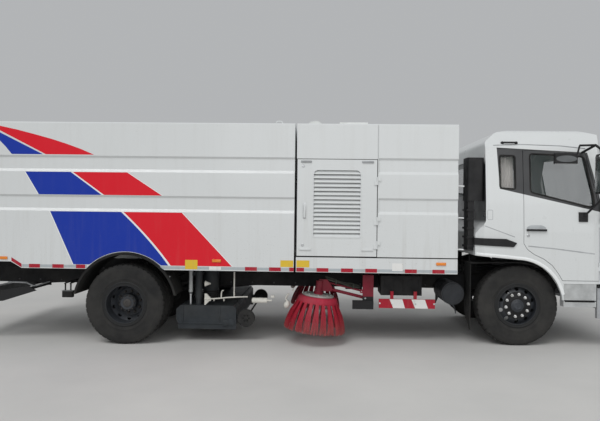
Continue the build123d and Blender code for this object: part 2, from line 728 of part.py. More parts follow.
# Air intake on the cab's back wall: a tall scoop over a ribbed duct
with BuildPart() as air_intake:
    with BuildSketch(Plane.XY.offset(INTAKE_Z[1])) as scoop:
        with Locations(((INTAKE_X[0] + INTAKE_X[1]) / 2, (INTAKE_Y[0] + INTAKE_Y[1]) / 2)):
            RectangleRounded(INTAKE_X[1] - INTAKE_X[0], INTAKE_Y[1] - INTAKE_Y[0], 30)
    extrude(scoop.sketch, amount=INTAKE_Z[2] - INTAKE_Z[1])
    slab(INTAKE_X[0] + 15, CAB_REAR - SEAT, INTAKE_Y[0] + 20, INTAKE_Y[1] - 20, INTAKE_Z[0], INTAKE_Z[1] + 5)
    for rib in range(INTAKE_RIBS):
        foot = INTAKE_Z[0] + 40 + rib * INTAKE_RIB_PITCH
        slab(INTAKE_X[0], CAB_REAR - SEAT, *INTAKE_Y, foot, foot + 24)

# Two-tread step under each door, closed above by a plain panel
with BuildPart() as cab_steps:
    pair(5520 + SEAT, 5920, 1090, 1100, 571, 858 - SEAT)
    pair(5520 + SEAT, 5920, 1188, 1203, 655, 858 - SEAT)
    pair(5520 + SEAT, 5920, 1090, 1203, 571, 629)
    pair(5520 + SEAT, 5535, 1090, 1203, 571, 858 - SEAT)
    pair(5905, 5920, 1090, 1203, 571, 858 - SEAT)
    for x in range(5560, 5880, 60):
        pair(x, x + 36, 1112, 1180, 560, 640, Mode.SUBTRACT)

# Steered and driven wheels
with BuildPart() as right_knuckle:
    upright(WHEELBASE, -KINGPIN_Y, KINGPIN_R, 470, 645)
    slab(WHEELBASE - 40, WHEELBASE + 40, -KINGPIN_Y - 90, -KINGPIN_Y + 30, 440, 484)
    slab(WHEELBASE - 40, WHEELBASE + 40, -KINGPIN_Y - 90, -KINGPIN_Y + 30, 626, 660)
    slab(WHEELBASE - 40, WHEELBASE + 40, -KINGPIN_Y - 90, -KINGPIN_Y - 55, 440, 660)
    across(*FRONT_HUB, SPINDLE_R, -1000, -KINGPIN_Y - 80)

with BuildPart() as left_knuckle:
    mirror(right_knuckle.part, about=Plane.XZ)

TYRE_HALF = (
    (BEAD_R, 85),
    (BEAD_R, 105),
    (300, 118),
    (400, 129.5),
    (470, 126),
    (498, 112),
    (TYRE_R, 84),
    (TYRE_R, 62),
    (TYRE_R - 14, 58),
    (TYRE_R - 14, 46),
    (TYRE_R, 42),
    (TYRE_R, 8),
    (TYRE_R - 14, 5),
)
TYRE_LINING = ((480, 70), (440, 105), (300, 98))


def tyre_at(x, y, z):
    ring = [(r, -w) for r, w in TYRE_HALF] + [(r, w) for r, w in reversed(TYRE_HALF)]
    ring = ring + [(r, w) for r, w in reversed(TYRE_LINING)] + [(r, -w) for r, w in TYRE_LINING]
    spun([(r, y + w) for r, w in ring], x, z)


# Rim ring with a dished disc: face is the way the outer side looks, hub the disc's distance from mid rim
RIM_RING = (
    (RIM_R, -118),
    (RIM_R, -106),
    (BEAD_R - SEAT, -104),
    (BEAD_R - SEAT, 104),
    (RIM_R, 106),
    (RIM_R, 118),
    (238, 118),
    (238, -118),
)


def rim_at(x, y, z, face, hub):
    spun([(r, y + face * w) for r, w in RIM_RING], x, z)
    disc = ((60, hub), (176, hub), (240, hub * 0.5), (240, hub * 0.5 - 14), (172, hub - 14), (60, hub - 14))
    spun([(r, y + face * w) for r, w in disc], x, z)
    for hole in range(HAND_HOLES):
        angle = math.radians(360 / HAND_HOLES * (hole + 0.5))
        at = (x + HAND_HOLE_RING * math.cos(angle), z + HAND_HOLE_RING * math.sin(angle))
        across(*at, HAND_HOLE_R, y - 100, y + 100, Mode.SUBTRACT)


with BuildPart() as front_right_tyre:
    tyre_at(FRONT_HUB[0], -FRONT_WHEEL_Y, FRONT_HUB[1])

with BuildPart() as front_right_wheel:
    rim_at(FRONT_HUB[0], -FRONT_WHEEL_Y, FRONT_HUB[1], -1, 100)
    bore = SPINDLE_R + PIN_GAP
    spun(((bore, -950), (bore, -1075), (62, -1075), (88, -1060), (95, -950)), *FRONT_HUB)

with BuildPart() as front_left_tyre:
    mirror(front_right_tyre.part, about=Plane.XZ)

with BuildPart() as front_left_wheel:
    mirror(front_right_wheel.part, about=Plane.XZ)

with BuildPart() as rear_right_tyres:
    tyre_at(REAR_HUB[0], -REAR_OUTER_Y, REAR_HUB[1])
    tyre_at(REAR_HUB[0], -REAR_INNER_Y, REAR_HUB[1])

with BuildPart() as rear_right_wheels:
    rim_at(REAR_HUB[0], -REAR_OUTER_Y, REAR_HUB[1], -1, -120)
    rim_at(REAR_HUB[0], -REAR_INNER_Y, REAR_HUB[1], 1, -120)
    spun(((bore, -700), (bore, -1090), (84, -1090), (110, -1066), (110, -700)), *REAR_HUB)

with BuildPart() as rear_left_tyres:
    mirror(rear_right_tyres.part, about=Plane.XZ)

with BuildPart() as rear_left_wheels:
    mirror(rear_right_wheels.part, about=Plane.XZ)

# Tipping hopper, open at the back where the gate closes it
with BuildPart() as hopper:
    slab(TAIL_X + GATE_T + GATE_GAP, HOPPER_FRONT, -HALF_W, HALF_W, BODY_BOTTOM, BODY_TOP)
    chamfer(edges().filter_by(Axis.X).group_by(Axis.Z)[-1], TOP_CHAMFER)
    room = (HOPPER_FLOOR + FLOOR_T, BODY_TOP - WALL)
    slab(TAIL_X, HOPPER_FRONT - WALL, -INNER_HALF, INNER_HALF, *room, Mode.SUBTRACT)
    slab(TAIL_X, HOPPER_FRONT + 1, -INNER_HALF, INNER_HALF, BODY_BOTTOM - 1, HOPPER_FLOOR, Mode.SUBTRACT)
    with BuildSketch(Plane.XZ.offset(-1300)) as arch:
        with Locations(ARCH):
            Circle(ARCH_R)
    extrude(arch.sketch, amount=2600, mode=Mode.SUBTRACT)
    side_form(((TAIL_X, 959), (-1308, 959), (-1450, 1040), (TAIL_X, 1040)), -1300, 1300, Mode.SUBTRACT)
    channels(TAIL_X, HOPPER_FRONT + 1)
    # Floor bearers on the sub-frame, tipping lugs and the rams' lug plates
    pair(TIP_HINGE[0] + 60, HOPPER_FRONT - WALL, SUB_IN, SUB_OUT, SUB_TOP + SEAT, HOPPER_FLOOR)
    pair(TIP_HINGE[0] - 40, TIP_HINGE[0] + 60, SUB_IN + 3, SUB_OUT - 3, TIP_HINGE[1] - 44, HOPPER_FLOOR)
    across_pair(*TIP_HINGE, TIP_PIN_R + PIN_GAP, 340, 450, Mode.SUBTRACT)
    for y in (240, 285):
        pair(RAM_EYE[0] - 40, RAM_EYE[0] + 40, y, y + 15, RAM_EYE[1] - 45, HOPPER_FLOOR)
    # Gate hinges on the roof's back edge
    for y in GATE_LUGS:
        slab(LUG_BACK, LUG_FRONT, y - 35, y - 23, BODY_TOP - 20, GATE_HINGE[1] + 20)
        slab(LUG_BACK, LUG_FRONT, y + 23, y + 35, BODY_TOP - 20, GATE_HINGE[1] + 20)
        slab(TAIL_X, TAIL_X + GATE_T + GATE_GAP, y - 40, y + 40, BODY_TOP - 30, BODY_TOP + 1, Mode.SUBTRACT)
        across(*GATE_HINGE, GATE_PIN_R, y - 35, y + 35)

with BuildPart() as tailgate:
    slab(TAIL_X, TAIL_X + GATE_T, -HALF_W, HALF_W, GATE_FOOT, GATE_TOP)
    for y in GATE_LUGS:
        slab(TAIL_X - 1, TAIL_X + GATE_T + 1, y - 42, y + 42, GATE_TOP - 12, GATE_TOP + 1, Mode.SUBTRACT)
    for y in (-1180, -400, 400, 1180):
        slab(TAIL_X - 22, TAIL_X, y - 45, y + 45, GATE_FOOT, BODY_TOP - 60)
    for z in (GATE_FOOT + 60, 1960, BODY_TOP - 120):
        slab(TAIL_X - 22, TAIL_X, -1225, 1225, z - 60, z + 60)
    for y in GATE_LUGS:
        slab(GATE_HINGE[0] - 22, GATE_HINGE[0] + 15, y - 18, y + 18, BODY_TOP - 40, GATE_HINGE[1])
        across(*GATE_HINGE, 20, y - 18, y + 18)
        across(*GATE_HINGE, GATE_PIN_R + PIN_GAP, y - 30, y + 30, Mode.SUBTRACT)

RAM_RUN = Vector(RAM_EYE[0] - RAM_FOOT[0], 0, RAM_EYE[1] - RAM_FOOT[1])
RAM_LENGTH = RAM_RUN.length
RAM_RUN = RAM_RUN.normalized()


# A point at a distance along a ram from its foot
def on_ram(side, along):
    return Vector(RAM_FOOT[0], side * RAM_Y, RAM_FOOT[1]) + RAM_RUN * along


with BuildPart() as ram_barrels:
    for side in (1, -1):
        bar(on_ram(side, 20), on_ram(side, BARREL_END), RAM_R)
        bar(on_ram(side, 85), on_ram(side, BARREL_END + 10), RAM_BORE_R, Mode.SUBTRACT)
        bar(on_ram(side, BARREL_END - 25), on_ram(side, BARREL_END), RAM_R + 8)
        bar(on_ram(side, BARREL_END - 26), on_ram(side, BARREL_END + 1), ROD_R + 1, Mode.SUBTRACT)
        across(*RAM_FOOT, RAM_PIN_R + 18, side * RAM_Y - 26, side * RAM_Y + 26)
        across(*RAM_FOOT, RAM_PIN_R + PIN_GAP, side * RAM_Y - 80, side * RAM_Y + 80, Mode.SUBTRACT)

with BuildPart() as ram_rods:
    for side in (1, -1):
        bar(on_ram(side, 100), on_ram(side, RAM_LENGTH - 165), ROD_R)
        eye_x, eye_z = RAM_EYE
        low, high = side * RAM_Y - 12, side * RAM_Y + 12
        tongue = [(RAM_LENGTH - 175, -26), (RAM_LENGTH, -26), (RAM_LENGTH, 26), (RAM_LENGTH - 175, 26)]
        points = [
            (RAM_FOOT[0] + a * RAM_RUN.X - b * RAM_RUN.Z, RAM_FOOT[1] + a * RAM_RUN.Z + b * RAM_RUN.X)
            for a, b in tongue
        ]
        side_form(points, low, high)
        across(eye_x, eye_z, 38, low, high)
        across(eye_x, eye_z, 20, low - 1, high + 1, Mode.SUBTRACT)

# Side brushes: a lower arm and an upper link carry each head level
with BuildPart() as brush_brackets:
    pair(3045, 3185, 938, 960, 570, 900)
    pair(3110, 3180, RAIL_OUTER + SEAT, 938, 850, 900)
    pair(2913, 3185, 938, 985, 462, 572)
    across_pair(*ARM_ROOT, ARM_PIN_R, 880, 940)
    across_pair(*LINK_ROOT, LINK_PIN_R, 880, 940)
    pair(3012, 3050, 938, 960, 668, 712)

with BuildPart() as right_brush_arm:
    bar((ARM_ROOT[0], -ARM_Y, ARM_ROOT[1]), (ARM_TIP[0], -ARM_Y, ARM_TIP[1]), 20)
    for end in (ARM_ROOT, ARM_TIP):
        across(*end, ARM_PIN_R + 16, -ARM_Y - 24, -ARM_Y + 24)
        across(*end, ARM_PIN_R + PIN_GAP, -ARM_Y - 40, -ARM_Y + 40, Mode.SUBTRACT)

with BuildPart() as right_brush_link:
    bar((LINK_ROOT[0], -ARM_Y, LINK_ROOT[1]), (LINK_TIP[0], -ARM_Y, LINK_TIP[1]), 12)
    for end in (LINK_ROOT, LINK_TIP):
        across(*end, LINK_PIN_R + 12, -ARM_Y - 16, -ARM_Y + 16)
        across(*end, LINK_PIN_R + PIN_GAP, -ARM_Y - 30, -ARM_Y + 30, Mode.SUBTRACT)

HEAD_PLATE = ((2440, 690), (2640, 680), (2650, 740), (2585, 835), (2480, 840))
BRUSH_SET = Pos(BRUSH[0], -BRUSH[1], BRUSH[2]) * Rot(0, BRUSH_TILT, 0)
with BuildPart(mode=Mode.PRIVATE) as motor_blank:
    upright(0, 0, 46, PLATE_TOP + SEAT, 210)
    upright(0, 0, 60, PLATE_TOP + SEAT, 70)

with BuildPart() as right_brush_head:
    add(BRUSH_SET * motor_blank.part)
    side_form(HEAD_PLATE, -BRUSH[1] - 4, 14 - BRUSH[1])
    across(*ARM_TIP, ARM_PIN_R, 4 - BRUSH[1], -880)
    across(*LINK_TIP, LINK_PIN_R, 4 - BRUSH[1], -880)

# Brush: a collar full of slanting tufts, each a flat bunch of bristles that flares and then hangs
TUFT = (
    (228, -30),
    (262, -30),
    (300, -130),
    (372, -245),
    (BRUSH_R, -330),
    (392, -425),
    (352, -432),
    (350, -330),
    (262, -160),
)
with BuildPart(mode=Mode.PRIVATE) as brush_blank:
    upright(0, 0, 205, PLATE_TOP - 22, PLATE_TOP)
    upright(0, 0, 265, -72, PLATE_TOP - 20)
    for row in range(TUFT_COUNT):
        with BuildSketch(Plane.XZ.rotated((0, 0, row * 360 / TUFT_COUNT))) as tuft:
            with BuildLine():
                Polyline(*TUFT, close=True)
            make_face()
        extrude(tuft.sketch, amount=TUFT_W / 2, both=True)

with BuildPart() as right_brush:
    add(BRUSH_SET * brush_blank.part)

with BuildPart() as left_brush_arm:
    mirror(right_brush_arm.part, about=Plane.XZ)

with BuildPart() as left_brush_link:
    mirror(right_brush_link.part, about=Plane.XZ)

with BuildPart() as left_brush_head:
    mirror(right_brush_head.part, about=Plane.XZ)

with BuildPart() as left_brush:
    mirror(right_brush.part, about=Plane.XZ)

# Suction nozzle: five plates round a mouth that opens down, with its ducts, lift tubes and wheel forks
END_Y = NOZZLE_Y - 15
NOZZLE_END = (
    (NOZZLE_REAR + 40, 215),
    (NOZZLE_REAR, 300),
    (NOZZLE_REAR, 430),
    (NOZZLE_REAR + 55, 481),
    (NOZZLE_FRONT - 30, 481),
    (NOZZLE_FRONT, 440),
    (NOZZLE_FRONT, 215),
)
NOZZLE_FRONT_PLATE = (
    (NOZZLE_FRONT - 44, 466),
    (NOZZLE_FRONT - 30, 481),
    (NOZZLE_FRONT, 440),
    (NOZZLE_FRONT, 240),
    (NOZZLE_FRONT - 14, 240),
    (NOZZLE_FRONT - 14, 434),
)
NOZZLE_REAR_PLATE = (
    (NOZZLE_REAR + 40, 215),
    (NOZZLE_REAR, 300),
    (NOZZLE_REAR, 430),
    (NOZZLE_REAR + 55, 481),
    (NOZZLE_REAR + 59, 466),
    (NOZZLE_REAR + 14, 424),
    (NOZZLE_REAR + 14, 304),
    (NOZZLE_REAR + 52, 220),
)
with BuildPart() as suction_nozzle:
    both_sides(NOZZLE_END, END_Y + SEAT, NOZZLE_Y)
    slab(NOZZLE_REAR + 60, NOZZLE_FRONT - 45, -END_Y, END_Y, 466, 481)
    side_form(NOZZLE_FRONT_PLATE, -END_Y, END_Y)
    side_form(NOZZLE_REAR_PLATE, -END_Y, END_Y)
    for side in (1, -1):
        upright(*DUCT[:1], side * DUCT[1], DUCT_R, 481 + SEAT, 700)
        upright(*DUCT[:1], side * DUCT[1], DUCT_R - SHEET, 400, 701, Mode.SUBTRACT)
        upright(898, side * 920, 38, 481 + SEAT, 850)
        upright(790, side * 920, 12, 481 + SEAT, 860)
    pair(NOZZLE_FRONT + SEAT, 1560, 928, 943, 300, 350)
    across_pair(*NOZZLE_WHEEL, AXLE_R + PIN_GAP, 900, 1000, Mode.SUBTRACT)
    across(1310, 278, 65, SEAT - END_Y, END_Y - SEAT)

with BuildPart() as nozzle_wheels:
    for side in (1, -1):
        across(*NOZZLE_WHEEL, NOZZLE_WHEEL_R, side * 950, side * 1008)
    across(*NOZZLE_WHEEL, AXLE_R, -1000, 1000)

with BuildPart() as suction_ducts:
    for side in (1, -1):
        upright(*DUCT[:1], side * DUCT[1], DUCT_R + SHEET + 6, 640, HOPPER_FLOOR - SEAT)
        upright(*DUCT[:1], side * DUCT[1], DUCT_R + 6, 600, HOPPER_FLOOR + 5, Mode.SUBTRACT)
        slab(980, 1020, side * (RAIL_OUTER + SEAT), side * (DUCT[1] - DUCT_R - 8), 850, 900)
    # Barrels of the nozzle's lift rams and its telescoping air tubes, on a bearer out from each rail
    for side in (1, -1):
        upright(898, side * 920, 46, 560, 1140)
        upright(898, side * 920, 39, 550, 1130, Mode.SUBTRACT)
        upright(790, side * 920, 24, 620, 1140)
        upright(790, side * 920, 13, 600, 1130, Mode.SUBTRACT)
        slab(860, 935, side * (RAIL_OUTER + SEAT), side * 884, 860, 900)
        slab(795, 880, side * 908, side * 932, 860, 900)

PIECES = {
    "frame_rails": frame_rails,
    "towing_jaw": towing_jaw,
    "body_subframe": body_subframe,
    "front_axle": front_axle,
    "rear_axle": rear_axle,
    "driveline": driveline,
    "chassis_tanks": chassis_tanks,
    "battery_box": battery_box,
    "side_guards": side_guards,
    "mudguards": mudguards,
    "bumpers": bumpers,
    "lamps": lamps,
    "engine_housing": engine_housing,
    "sweeper_engine": sweeper_engine,
    "roof_beacon": roof_beacon,
    "brush_brackets": brush_brackets,
    "suction_ducts": suction_ducts,
    "cab_shell": cab_shell,
    "cab_glass": cab_glass,
    "dashboard": dashboard,
    "cab_seats": cab_seats,
    "side_curtain": side_curtain,
    "front_grille": front_grille,
    "cab_trim": cab_trim,
    "cab_steps": cab_steps,
    "air_intake": air_intake,
    "right_door": right_door,
    "right_door_glass": right_door_glass,
    "right_door_fittings": right_door_fittings,
    "left_door": left_door,
    "left_door_glass": left_door_glass,
    "left_door_fittings": left_door_fittings,
    "right_knuckle": right_knuckle,
    "left_knuckle": left_knuckle,
    "front_right_wheel": front_right_wheel,
    "front_right_tyre": front_right_tyre,
    "front_left_wheel": front_left_wheel,
    "front_left_tyre": front_left_tyre,
    "rear_right_wheels": rear_right_wheels,
    "rear_right_tyres": rear_right_tyres,
    "rear_left_wheels": rear_left_wheels,
    "rear_left_tyres": rear_left_tyres,
    "hopper": hopper,
    "tailgate": tailgate,
    "ram_barrels": ram_barrels,
    "ram_rods": ram_rods,
    "right_engine_door": right_engine_door,
    "left_engine_door": left_engine_door,
    "right_brush_arm": right_brush_arm,
    "right_brush_link": right_brush_link,
    "right_brush_head": right_brush_head,
    "right_brush": right_brush,
    "left_brush_arm": left_brush_arm,
    "left_brush_link": left_brush_link,
    "left_brush_head": left_brush_head,
    "left_brush": left_brush,
    "suction_nozzle": suction_nozzle,
    "nozzle_wheels": nozzle_wheels,
}

os.makedirs("parts", exist_ok=True)
for name, builder in PIECES.items():
    piece = SET_DOWN * builder.part
    piece.label = name
    export_step(piece, f"parts/{name}.step")
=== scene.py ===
import math
import random

import bmesh
import bpy
from mathutils import Matrix, Vector
from mathutils.bvhtree import BVHTree


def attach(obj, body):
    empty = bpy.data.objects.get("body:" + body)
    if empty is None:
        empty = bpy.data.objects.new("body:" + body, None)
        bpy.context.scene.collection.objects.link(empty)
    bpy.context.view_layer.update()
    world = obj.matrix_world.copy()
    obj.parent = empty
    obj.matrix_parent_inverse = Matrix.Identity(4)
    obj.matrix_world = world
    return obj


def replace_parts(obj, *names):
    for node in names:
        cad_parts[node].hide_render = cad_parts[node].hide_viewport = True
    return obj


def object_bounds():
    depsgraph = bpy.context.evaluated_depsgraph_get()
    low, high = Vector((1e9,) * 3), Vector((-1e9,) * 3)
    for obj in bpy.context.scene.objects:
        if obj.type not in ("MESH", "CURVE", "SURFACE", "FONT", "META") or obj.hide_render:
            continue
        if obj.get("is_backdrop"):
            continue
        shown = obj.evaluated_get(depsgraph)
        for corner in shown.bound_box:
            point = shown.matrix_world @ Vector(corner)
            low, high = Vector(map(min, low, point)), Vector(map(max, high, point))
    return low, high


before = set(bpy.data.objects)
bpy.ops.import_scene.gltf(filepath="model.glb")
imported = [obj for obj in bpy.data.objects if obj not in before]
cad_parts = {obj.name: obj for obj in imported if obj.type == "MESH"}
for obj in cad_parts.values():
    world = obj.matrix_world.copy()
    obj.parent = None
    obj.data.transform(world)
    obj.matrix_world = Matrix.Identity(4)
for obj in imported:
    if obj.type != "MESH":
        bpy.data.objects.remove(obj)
cad_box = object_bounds()
scene = bpy.context.scene

# Street sweeper truck. Places are given as on the level truck, in millimetres: X forward from the
# rear axle, Y to its left, Z up. SET_DOWN stands the truck on its wheels in metres.
RAKE = math.radians(0.52)
TYRE_R = 509
X_MIDDLE = 1990
WHEELBASE = 5000
HALF_W = 1250
ROOF = 2824
FRONT_HUB = (WHEELBASE, TYRE_R + WHEELBASE * math.tan(RAKE))
REAR_HUB = (0, TYRE_R)
SET_DOWN = (
    Matrix.Scale(0.001, 4)
    @ Matrix.Translation((-X_MIDDLE, 0, TYRE_R))
    @ Matrix.Rotation(RAKE, 4, "Y")
    @ Matrix.Translation((0, 0, -TYRE_R))
)
TO_TRUCK = SET_DOWN.inverted()
BOTH = (1, -1)
SIDES = (("right", -1), ("left", 1))
AHEAD, OUT, UP = (1, 0, 0), (0, 1, 0), (0, 0, 1)
TURN = 2 * math.pi


def place(x, y, z):
    return SET_DOWN @ Vector((x, y, z))


# Materials: each is a chain of noise on colour, roughness and bump, with optional masks
class Maker:
    def __init__(self, name, **fixed):
        self.mat = bpy.data.materials.new(name)
        self.mat.use_nodes = True
        tree = self.mat.node_tree
        self.nodes, self.links = tree.nodes, tree.links
        self.bsdf = self.nodes["Principled BSDF"]
        for key, value in fixed.items():
            self.bsdf.inputs[key.replace("_", " ")].default_value = value
        coords = self.nodes.new("ShaderNodeTexCoord")
        self.place = coords.outputs["Object"]
        self.normal = coords.outputs["Normal"]

    # A node whose inputs are linked where they are another node's output, and set where they aren't
    def node(self, kind, inputs, **settings):
        node = self.nodes.new("ShaderNode" + kind)
        for key, value in settings.items():
            setattr(node, key, value)
        for key, value in inputs.items():
            if isinstance(value, bpy.types.NodeSocket):
                self.links.new(value, node.inputs[key])
            else:
                node.inputs[key].default_value = value
        return node.outputs

    def math(self, kind, a, b=None, clamp=False):
        inputs = {0: a} if b is None else {0: a, 1: b}
        return self.node("Math", inputs, operation=kind, use_clamp=clamp)[0]

    def times(self, a, b, clamp=False):
        return self.math("MULTIPLY", a, b, clamp)

    def noise(self, scale, detail=4.0, stretch=None):
        spot = self.node("Mapping", {"Scale": stretch, "Vector": self.place})[0] if stretch else self.place
        inputs = {"Scale": scale, "Detail": detail, "Roughness": 0.55, "Vector": spot}
        return self.node("TexNoise", inputs)["Fac"]

    def ramp(self, value, low, high, out_low=0.0, out_high=1.0):
        inputs = {"From Min": low, "From Max": high, "To Min": out_low, "To Max": out_high, "Value": value}
        return self.node("MapRange", inputs)["Result"]

    def mix(self, amount, a, b):
        a, b = ((*c, 1.0) if isinstance(c, tuple) else c for c in (a, b))
        return self.node("Mix", {0: amount, 6: a, 7: b}, data_type="RGBA")[2]

    # Between two colours, by a soft noise
    def blotches(self, scale, detail, a, b):
        return self.mix(self.ramp(self.noise(scale, detail), 0.3, 0.7), a, b)

    def axis(self, name, of=None):
        return self.node("SeparateXYZ", {0: of or self.place})[name]

    def colour(self, value):
        self.links.new(value, self.bsdf.inputs["Base Color"])

    # Another colour where a mask is 1
    def where(self, mask, colour):
        under = self.bsdf.inputs["Base Color"].links[0].from_socket
        self.colour(self.mix(mask, under, colour))

    def rough(self, value):
        self.links.new(value, self.bsdf.inputs["Roughness"])

    # Layers of (height, strength, distance)
    def bump(self, *layers):
        last = None
        for height, strength, distance in layers:
            inputs = {"Strength": strength, "Distance": distance, "Height": height}
            if last:
                inputs["Normal"] = last
            last = self.node("Bump", inputs)[0]
        self.links.new(last, self.bsdf.inputs["Normal"])

    # 1 inside a convex outline of (x, z) points on the truck's side, on faces that look sideways
    def side_mask(self, points, soft=0.0015, least_y=0.99):
        x, z = self.axis("X"), self.axis("Z")
        flat = [place(px, 0, pz) for px, pz in points]
        edges = list(zip(flat, flat[1:] + flat[:1]))
        turn = sum((b.x - a.x) * (b.z + a.z) for a, b in edges)
        inside = None
        for a, b in edges:
            if turn < 0:
                a, b = b, a
            span = math.hypot(b.x - a.x, b.z - a.z)
            nx, nz = (b.z - a.z) / span, -(b.x - a.x) / span
            far = self.math("ADD", self.times(x, nx), self.times(z, nz))
            far = self.math("SUBTRACT", far, nx * a.x + nz * a.z)
            inside = far if inside is None else self.math("MINIMUM", inside, far)
        outside = self.math("GREATER_THAN", self.math("ABSOLUTE", self.axis("Y")), least_y)
        return self.times(self.ramp(inside, -soft, soft), outside, clamp=True)


WHITE = (0.69, 0.71, 0.71)
GRIME = (0.30, 0.27, 0.22)
DULL = (0.06, 0.056, 0.05)
BACK_WALL_SHADE = (0.022, 0.024, 0.026)
GLAZED = (0.008, 0.009, 0.011)
BLACK = (0.012, 0.012, 0.013)


def paint(name, colour, rough=0.3, dirt=0.25, coat=0.3, shine=0.5):
    m = Maker(name, Coat_Weight=coat, Coat_Roughness=0.12, Specular_IOR_Level=shine)
    broad = m.noise(1.3, 5.0)
    base = m.mix(m.ramp(broad, 0.3, 0.7, 0.0, 0.10), colour, tuple(c * 0.8 for c in colour))
    runs = m.ramp(m.noise(3.0, 6.0, (6.0, 6.0, 0.35)), 0.5, 0.8)
    foot = m.ramp(m.axis("Z"), 1.9, 0.9, 0.25, 1.0)
    soil = m.times(m.times(runs, foot), dirt, clamp=True)
    base = m.mix(soil, base, GRIME)
    specks = m.ramp(m.noise(90.0, 2.0), 0.68, 0.74, 0.0, 0.5)
    m.colour(m.mix(m.times(specks, foot), base, tuple(c * 0.5 for c in GRIME)))
    m.rough(m.ramp(m.math("ADD", m.noise(5.0), soil), 0.2, 1.1, rough, rough + 0.35))
    m.bump((m.noise(2.2, 2.0), 0.12, 0.004), (m.noise(350.0, 2.0), 0.05, 0.0004))
    return m


DUST = (0.25, 0.235, 0.21)


def coarse(name, colour, rough=0.75, dust=0.35, metal=0.0, grain=60.0, dust_colour=DUST, shine=0.5):
    m = Maker(name, Metallic=metal, Specular_IOR_Level=shine)
    base = m.blotches(7.0, 6.0, colour, tuple(min(1.0, c * 1.5 + 0.004) for c in colour))
    film = m.ramp(m.noise(2.3, 8.0), 0.42, 0.72, 0.0, dust)
    m.colour(m.mix(film, base, dust_colour))
    m.rough(m.ramp(m.noise(12.0), 0.2, 0.8, rough - 0.12, min(1.0, rough + 0.15)))
    m.bump((m.noise(grain), 0.25, 0.0012), (m.noise(6.0, 3.0), 0.15, 0.004))
    return m


body_white = paint("body_paint", WHITE)
cab_white = paint("cab_paint", WHITE, rough=0.22, dirt=0.14, coat=0.35)
WINDOW_BAND = ((4697, 2556), (5822, 2500), (6003, 1746), (5136, 1941), (4727, 2033))
cab_white.where(cab_white.side_mask(WINDOW_BAND), GLAZED)
# Painted shade on the cab's back wall and its corners, for the shade in the gap behind the body
m = cab_white
behind = m.times(m.ramp(m.axis("X", m.normal), -0.15, -0.35), m.ramp(m.axis("X"), 2.62, 2.59))
height = m.axis("Z")
between = m.times(m.ramp(height, 1.50, 1.60), m.ramp(height, 2.36, 2.30))
m.where(m.times(behind, between), BACK_WALL_SHADE)

chassis_black = coarse("chassis_black", (0.009, 0.009, 0.010), 0.66, 0.4, dust_colour=DULL, shine=0.25)
engine_iron = coarse("engine_iron", (0.05, 0.05, 0.053), 0.6, 0.4, 0.3, 40.0, (0.10, 0.095, 0.085), 0.35)
tank_grey = coarse("tank_grey", (0.020, 0.022, 0.026), 0.5, 0.25, 0.1, 120.0, (0.07, 0.068, 0.062), 0.4)
steel_grey = coarse("steel_grey", (0.28, 0.29, 0.30), 0.5, 0.25, 0.1, 150.0)
trim_black = coarse("trim_plastic", (0.010, 0.010, 0.011), 0.5, 0.14, 0.0, 500.0, DULL, 0.3)
rubber = coarse("rubber_sheet", (0.010, 0.010, 0.010), 0.8, 0.4, 0.0, 90.0, DULL, 0.25)
wheel_paint = coarse("wheel_paint", (0.032, 0.036, 0.043), 0.5, 0.35, 0.15, 150.0, (0.085, 0.083, 0.078), 0.4)
# Painted shade: outside the disc the rims are darkened to the tyres' tone, for the shade in the rim well
DISC_R, RIM_R = 0.236, 0.246
RIM_WELL_SHADE = (0.014, 0.0145, 0.015)
m = wheel_paint
for hub in (FRONT_HUB, REAR_HUB):
    centre = place(hub[0], 0, hub[1])
    across = m.math("SUBTRACT", m.axis("X"), centre.x)
    up = m.math("SUBTRACT", m.axis("Z"), centre.z)
    square = m.math("ADD", m.times(across, across), m.times(up, up))
    near = m.math("LESS_THAN", square, 0.2)
    m.where(m.times(m.ramp(square, DISC_R ** 2, RIM_R ** 2), near), RIM_WELL_SHADE)
nozzle_paint = coarse("nozzle_paint", (0.022, 0.026, 0.030), 0.6, 0.4, 0.05, 80.0, (0.075, 0.073, 0.066), 0.3)
# A darkened red: painted shade over the arms' red paint, since they lie in shade under the truck
arm_red = coarse("arm_paint", (0.20, 0.006, 0.022), 0.5, 0.35, 0.0, 140.0, (0.10, 0.055, 0.05), 0.35)
bare_steel = coarse("bare_steel", (0.50, 0.51, 0.52), 0.34, 0.2, 0.9, 200.0)
# The rear bumper is painted black for the shade under the rear of the body, and the brush brackets are black
# below their upper part
bumper_grey = coarse("bumper_grey", (0.28, 0.29, 0.30), 0.5, 0.25, 0.1, 150.0)
bumper_grey.where(bumper_grey.ramp(bumper_grey.axis("X"), -0.5, -0.6), BLACK)
# The brackets take the arms' darkened red, a painted shade over their red paint
bracket_red = coarse("bracket_red", (0.20, 0.006, 0.022), 0.5, 0.35, 0.0, 140.0, (0.10, 0.055, 0.05), 0.35)
bracket_red.where(bracket_red.ramp(bracket_red.axis("Z"), 0.60, 0.59), BLACK)
step_grey = coarse("step_grey", (0.36, 0.37, 0.37), 0.5, 0.2, 0.0, 240.0)

bristles = m = Maker("bristle_plastic", Specular_IOR_Level=0.35)
streak = m.noise(45.0, 3.0, (6.0, 6.0, 0.5))
base = m.mix(m.ramp(streak, 0.35, 0.65), (0.52, 0.022, 0.05), (0.20, 0.006, 0.014))
dust = m.times(m.ramp(m.axis("Z"), 0.36, 0.17, 0.0, 0.5), m.noise(9.0, 5.0), clamp=True)
m.colour(m.mix(dust, base, (0.36, 0.25, 0.2)))
m.rough(m.ramp(streak, 0.3, 0.7, 0.42, 0.66))
m.bump((streak, 0.5, 0.002))

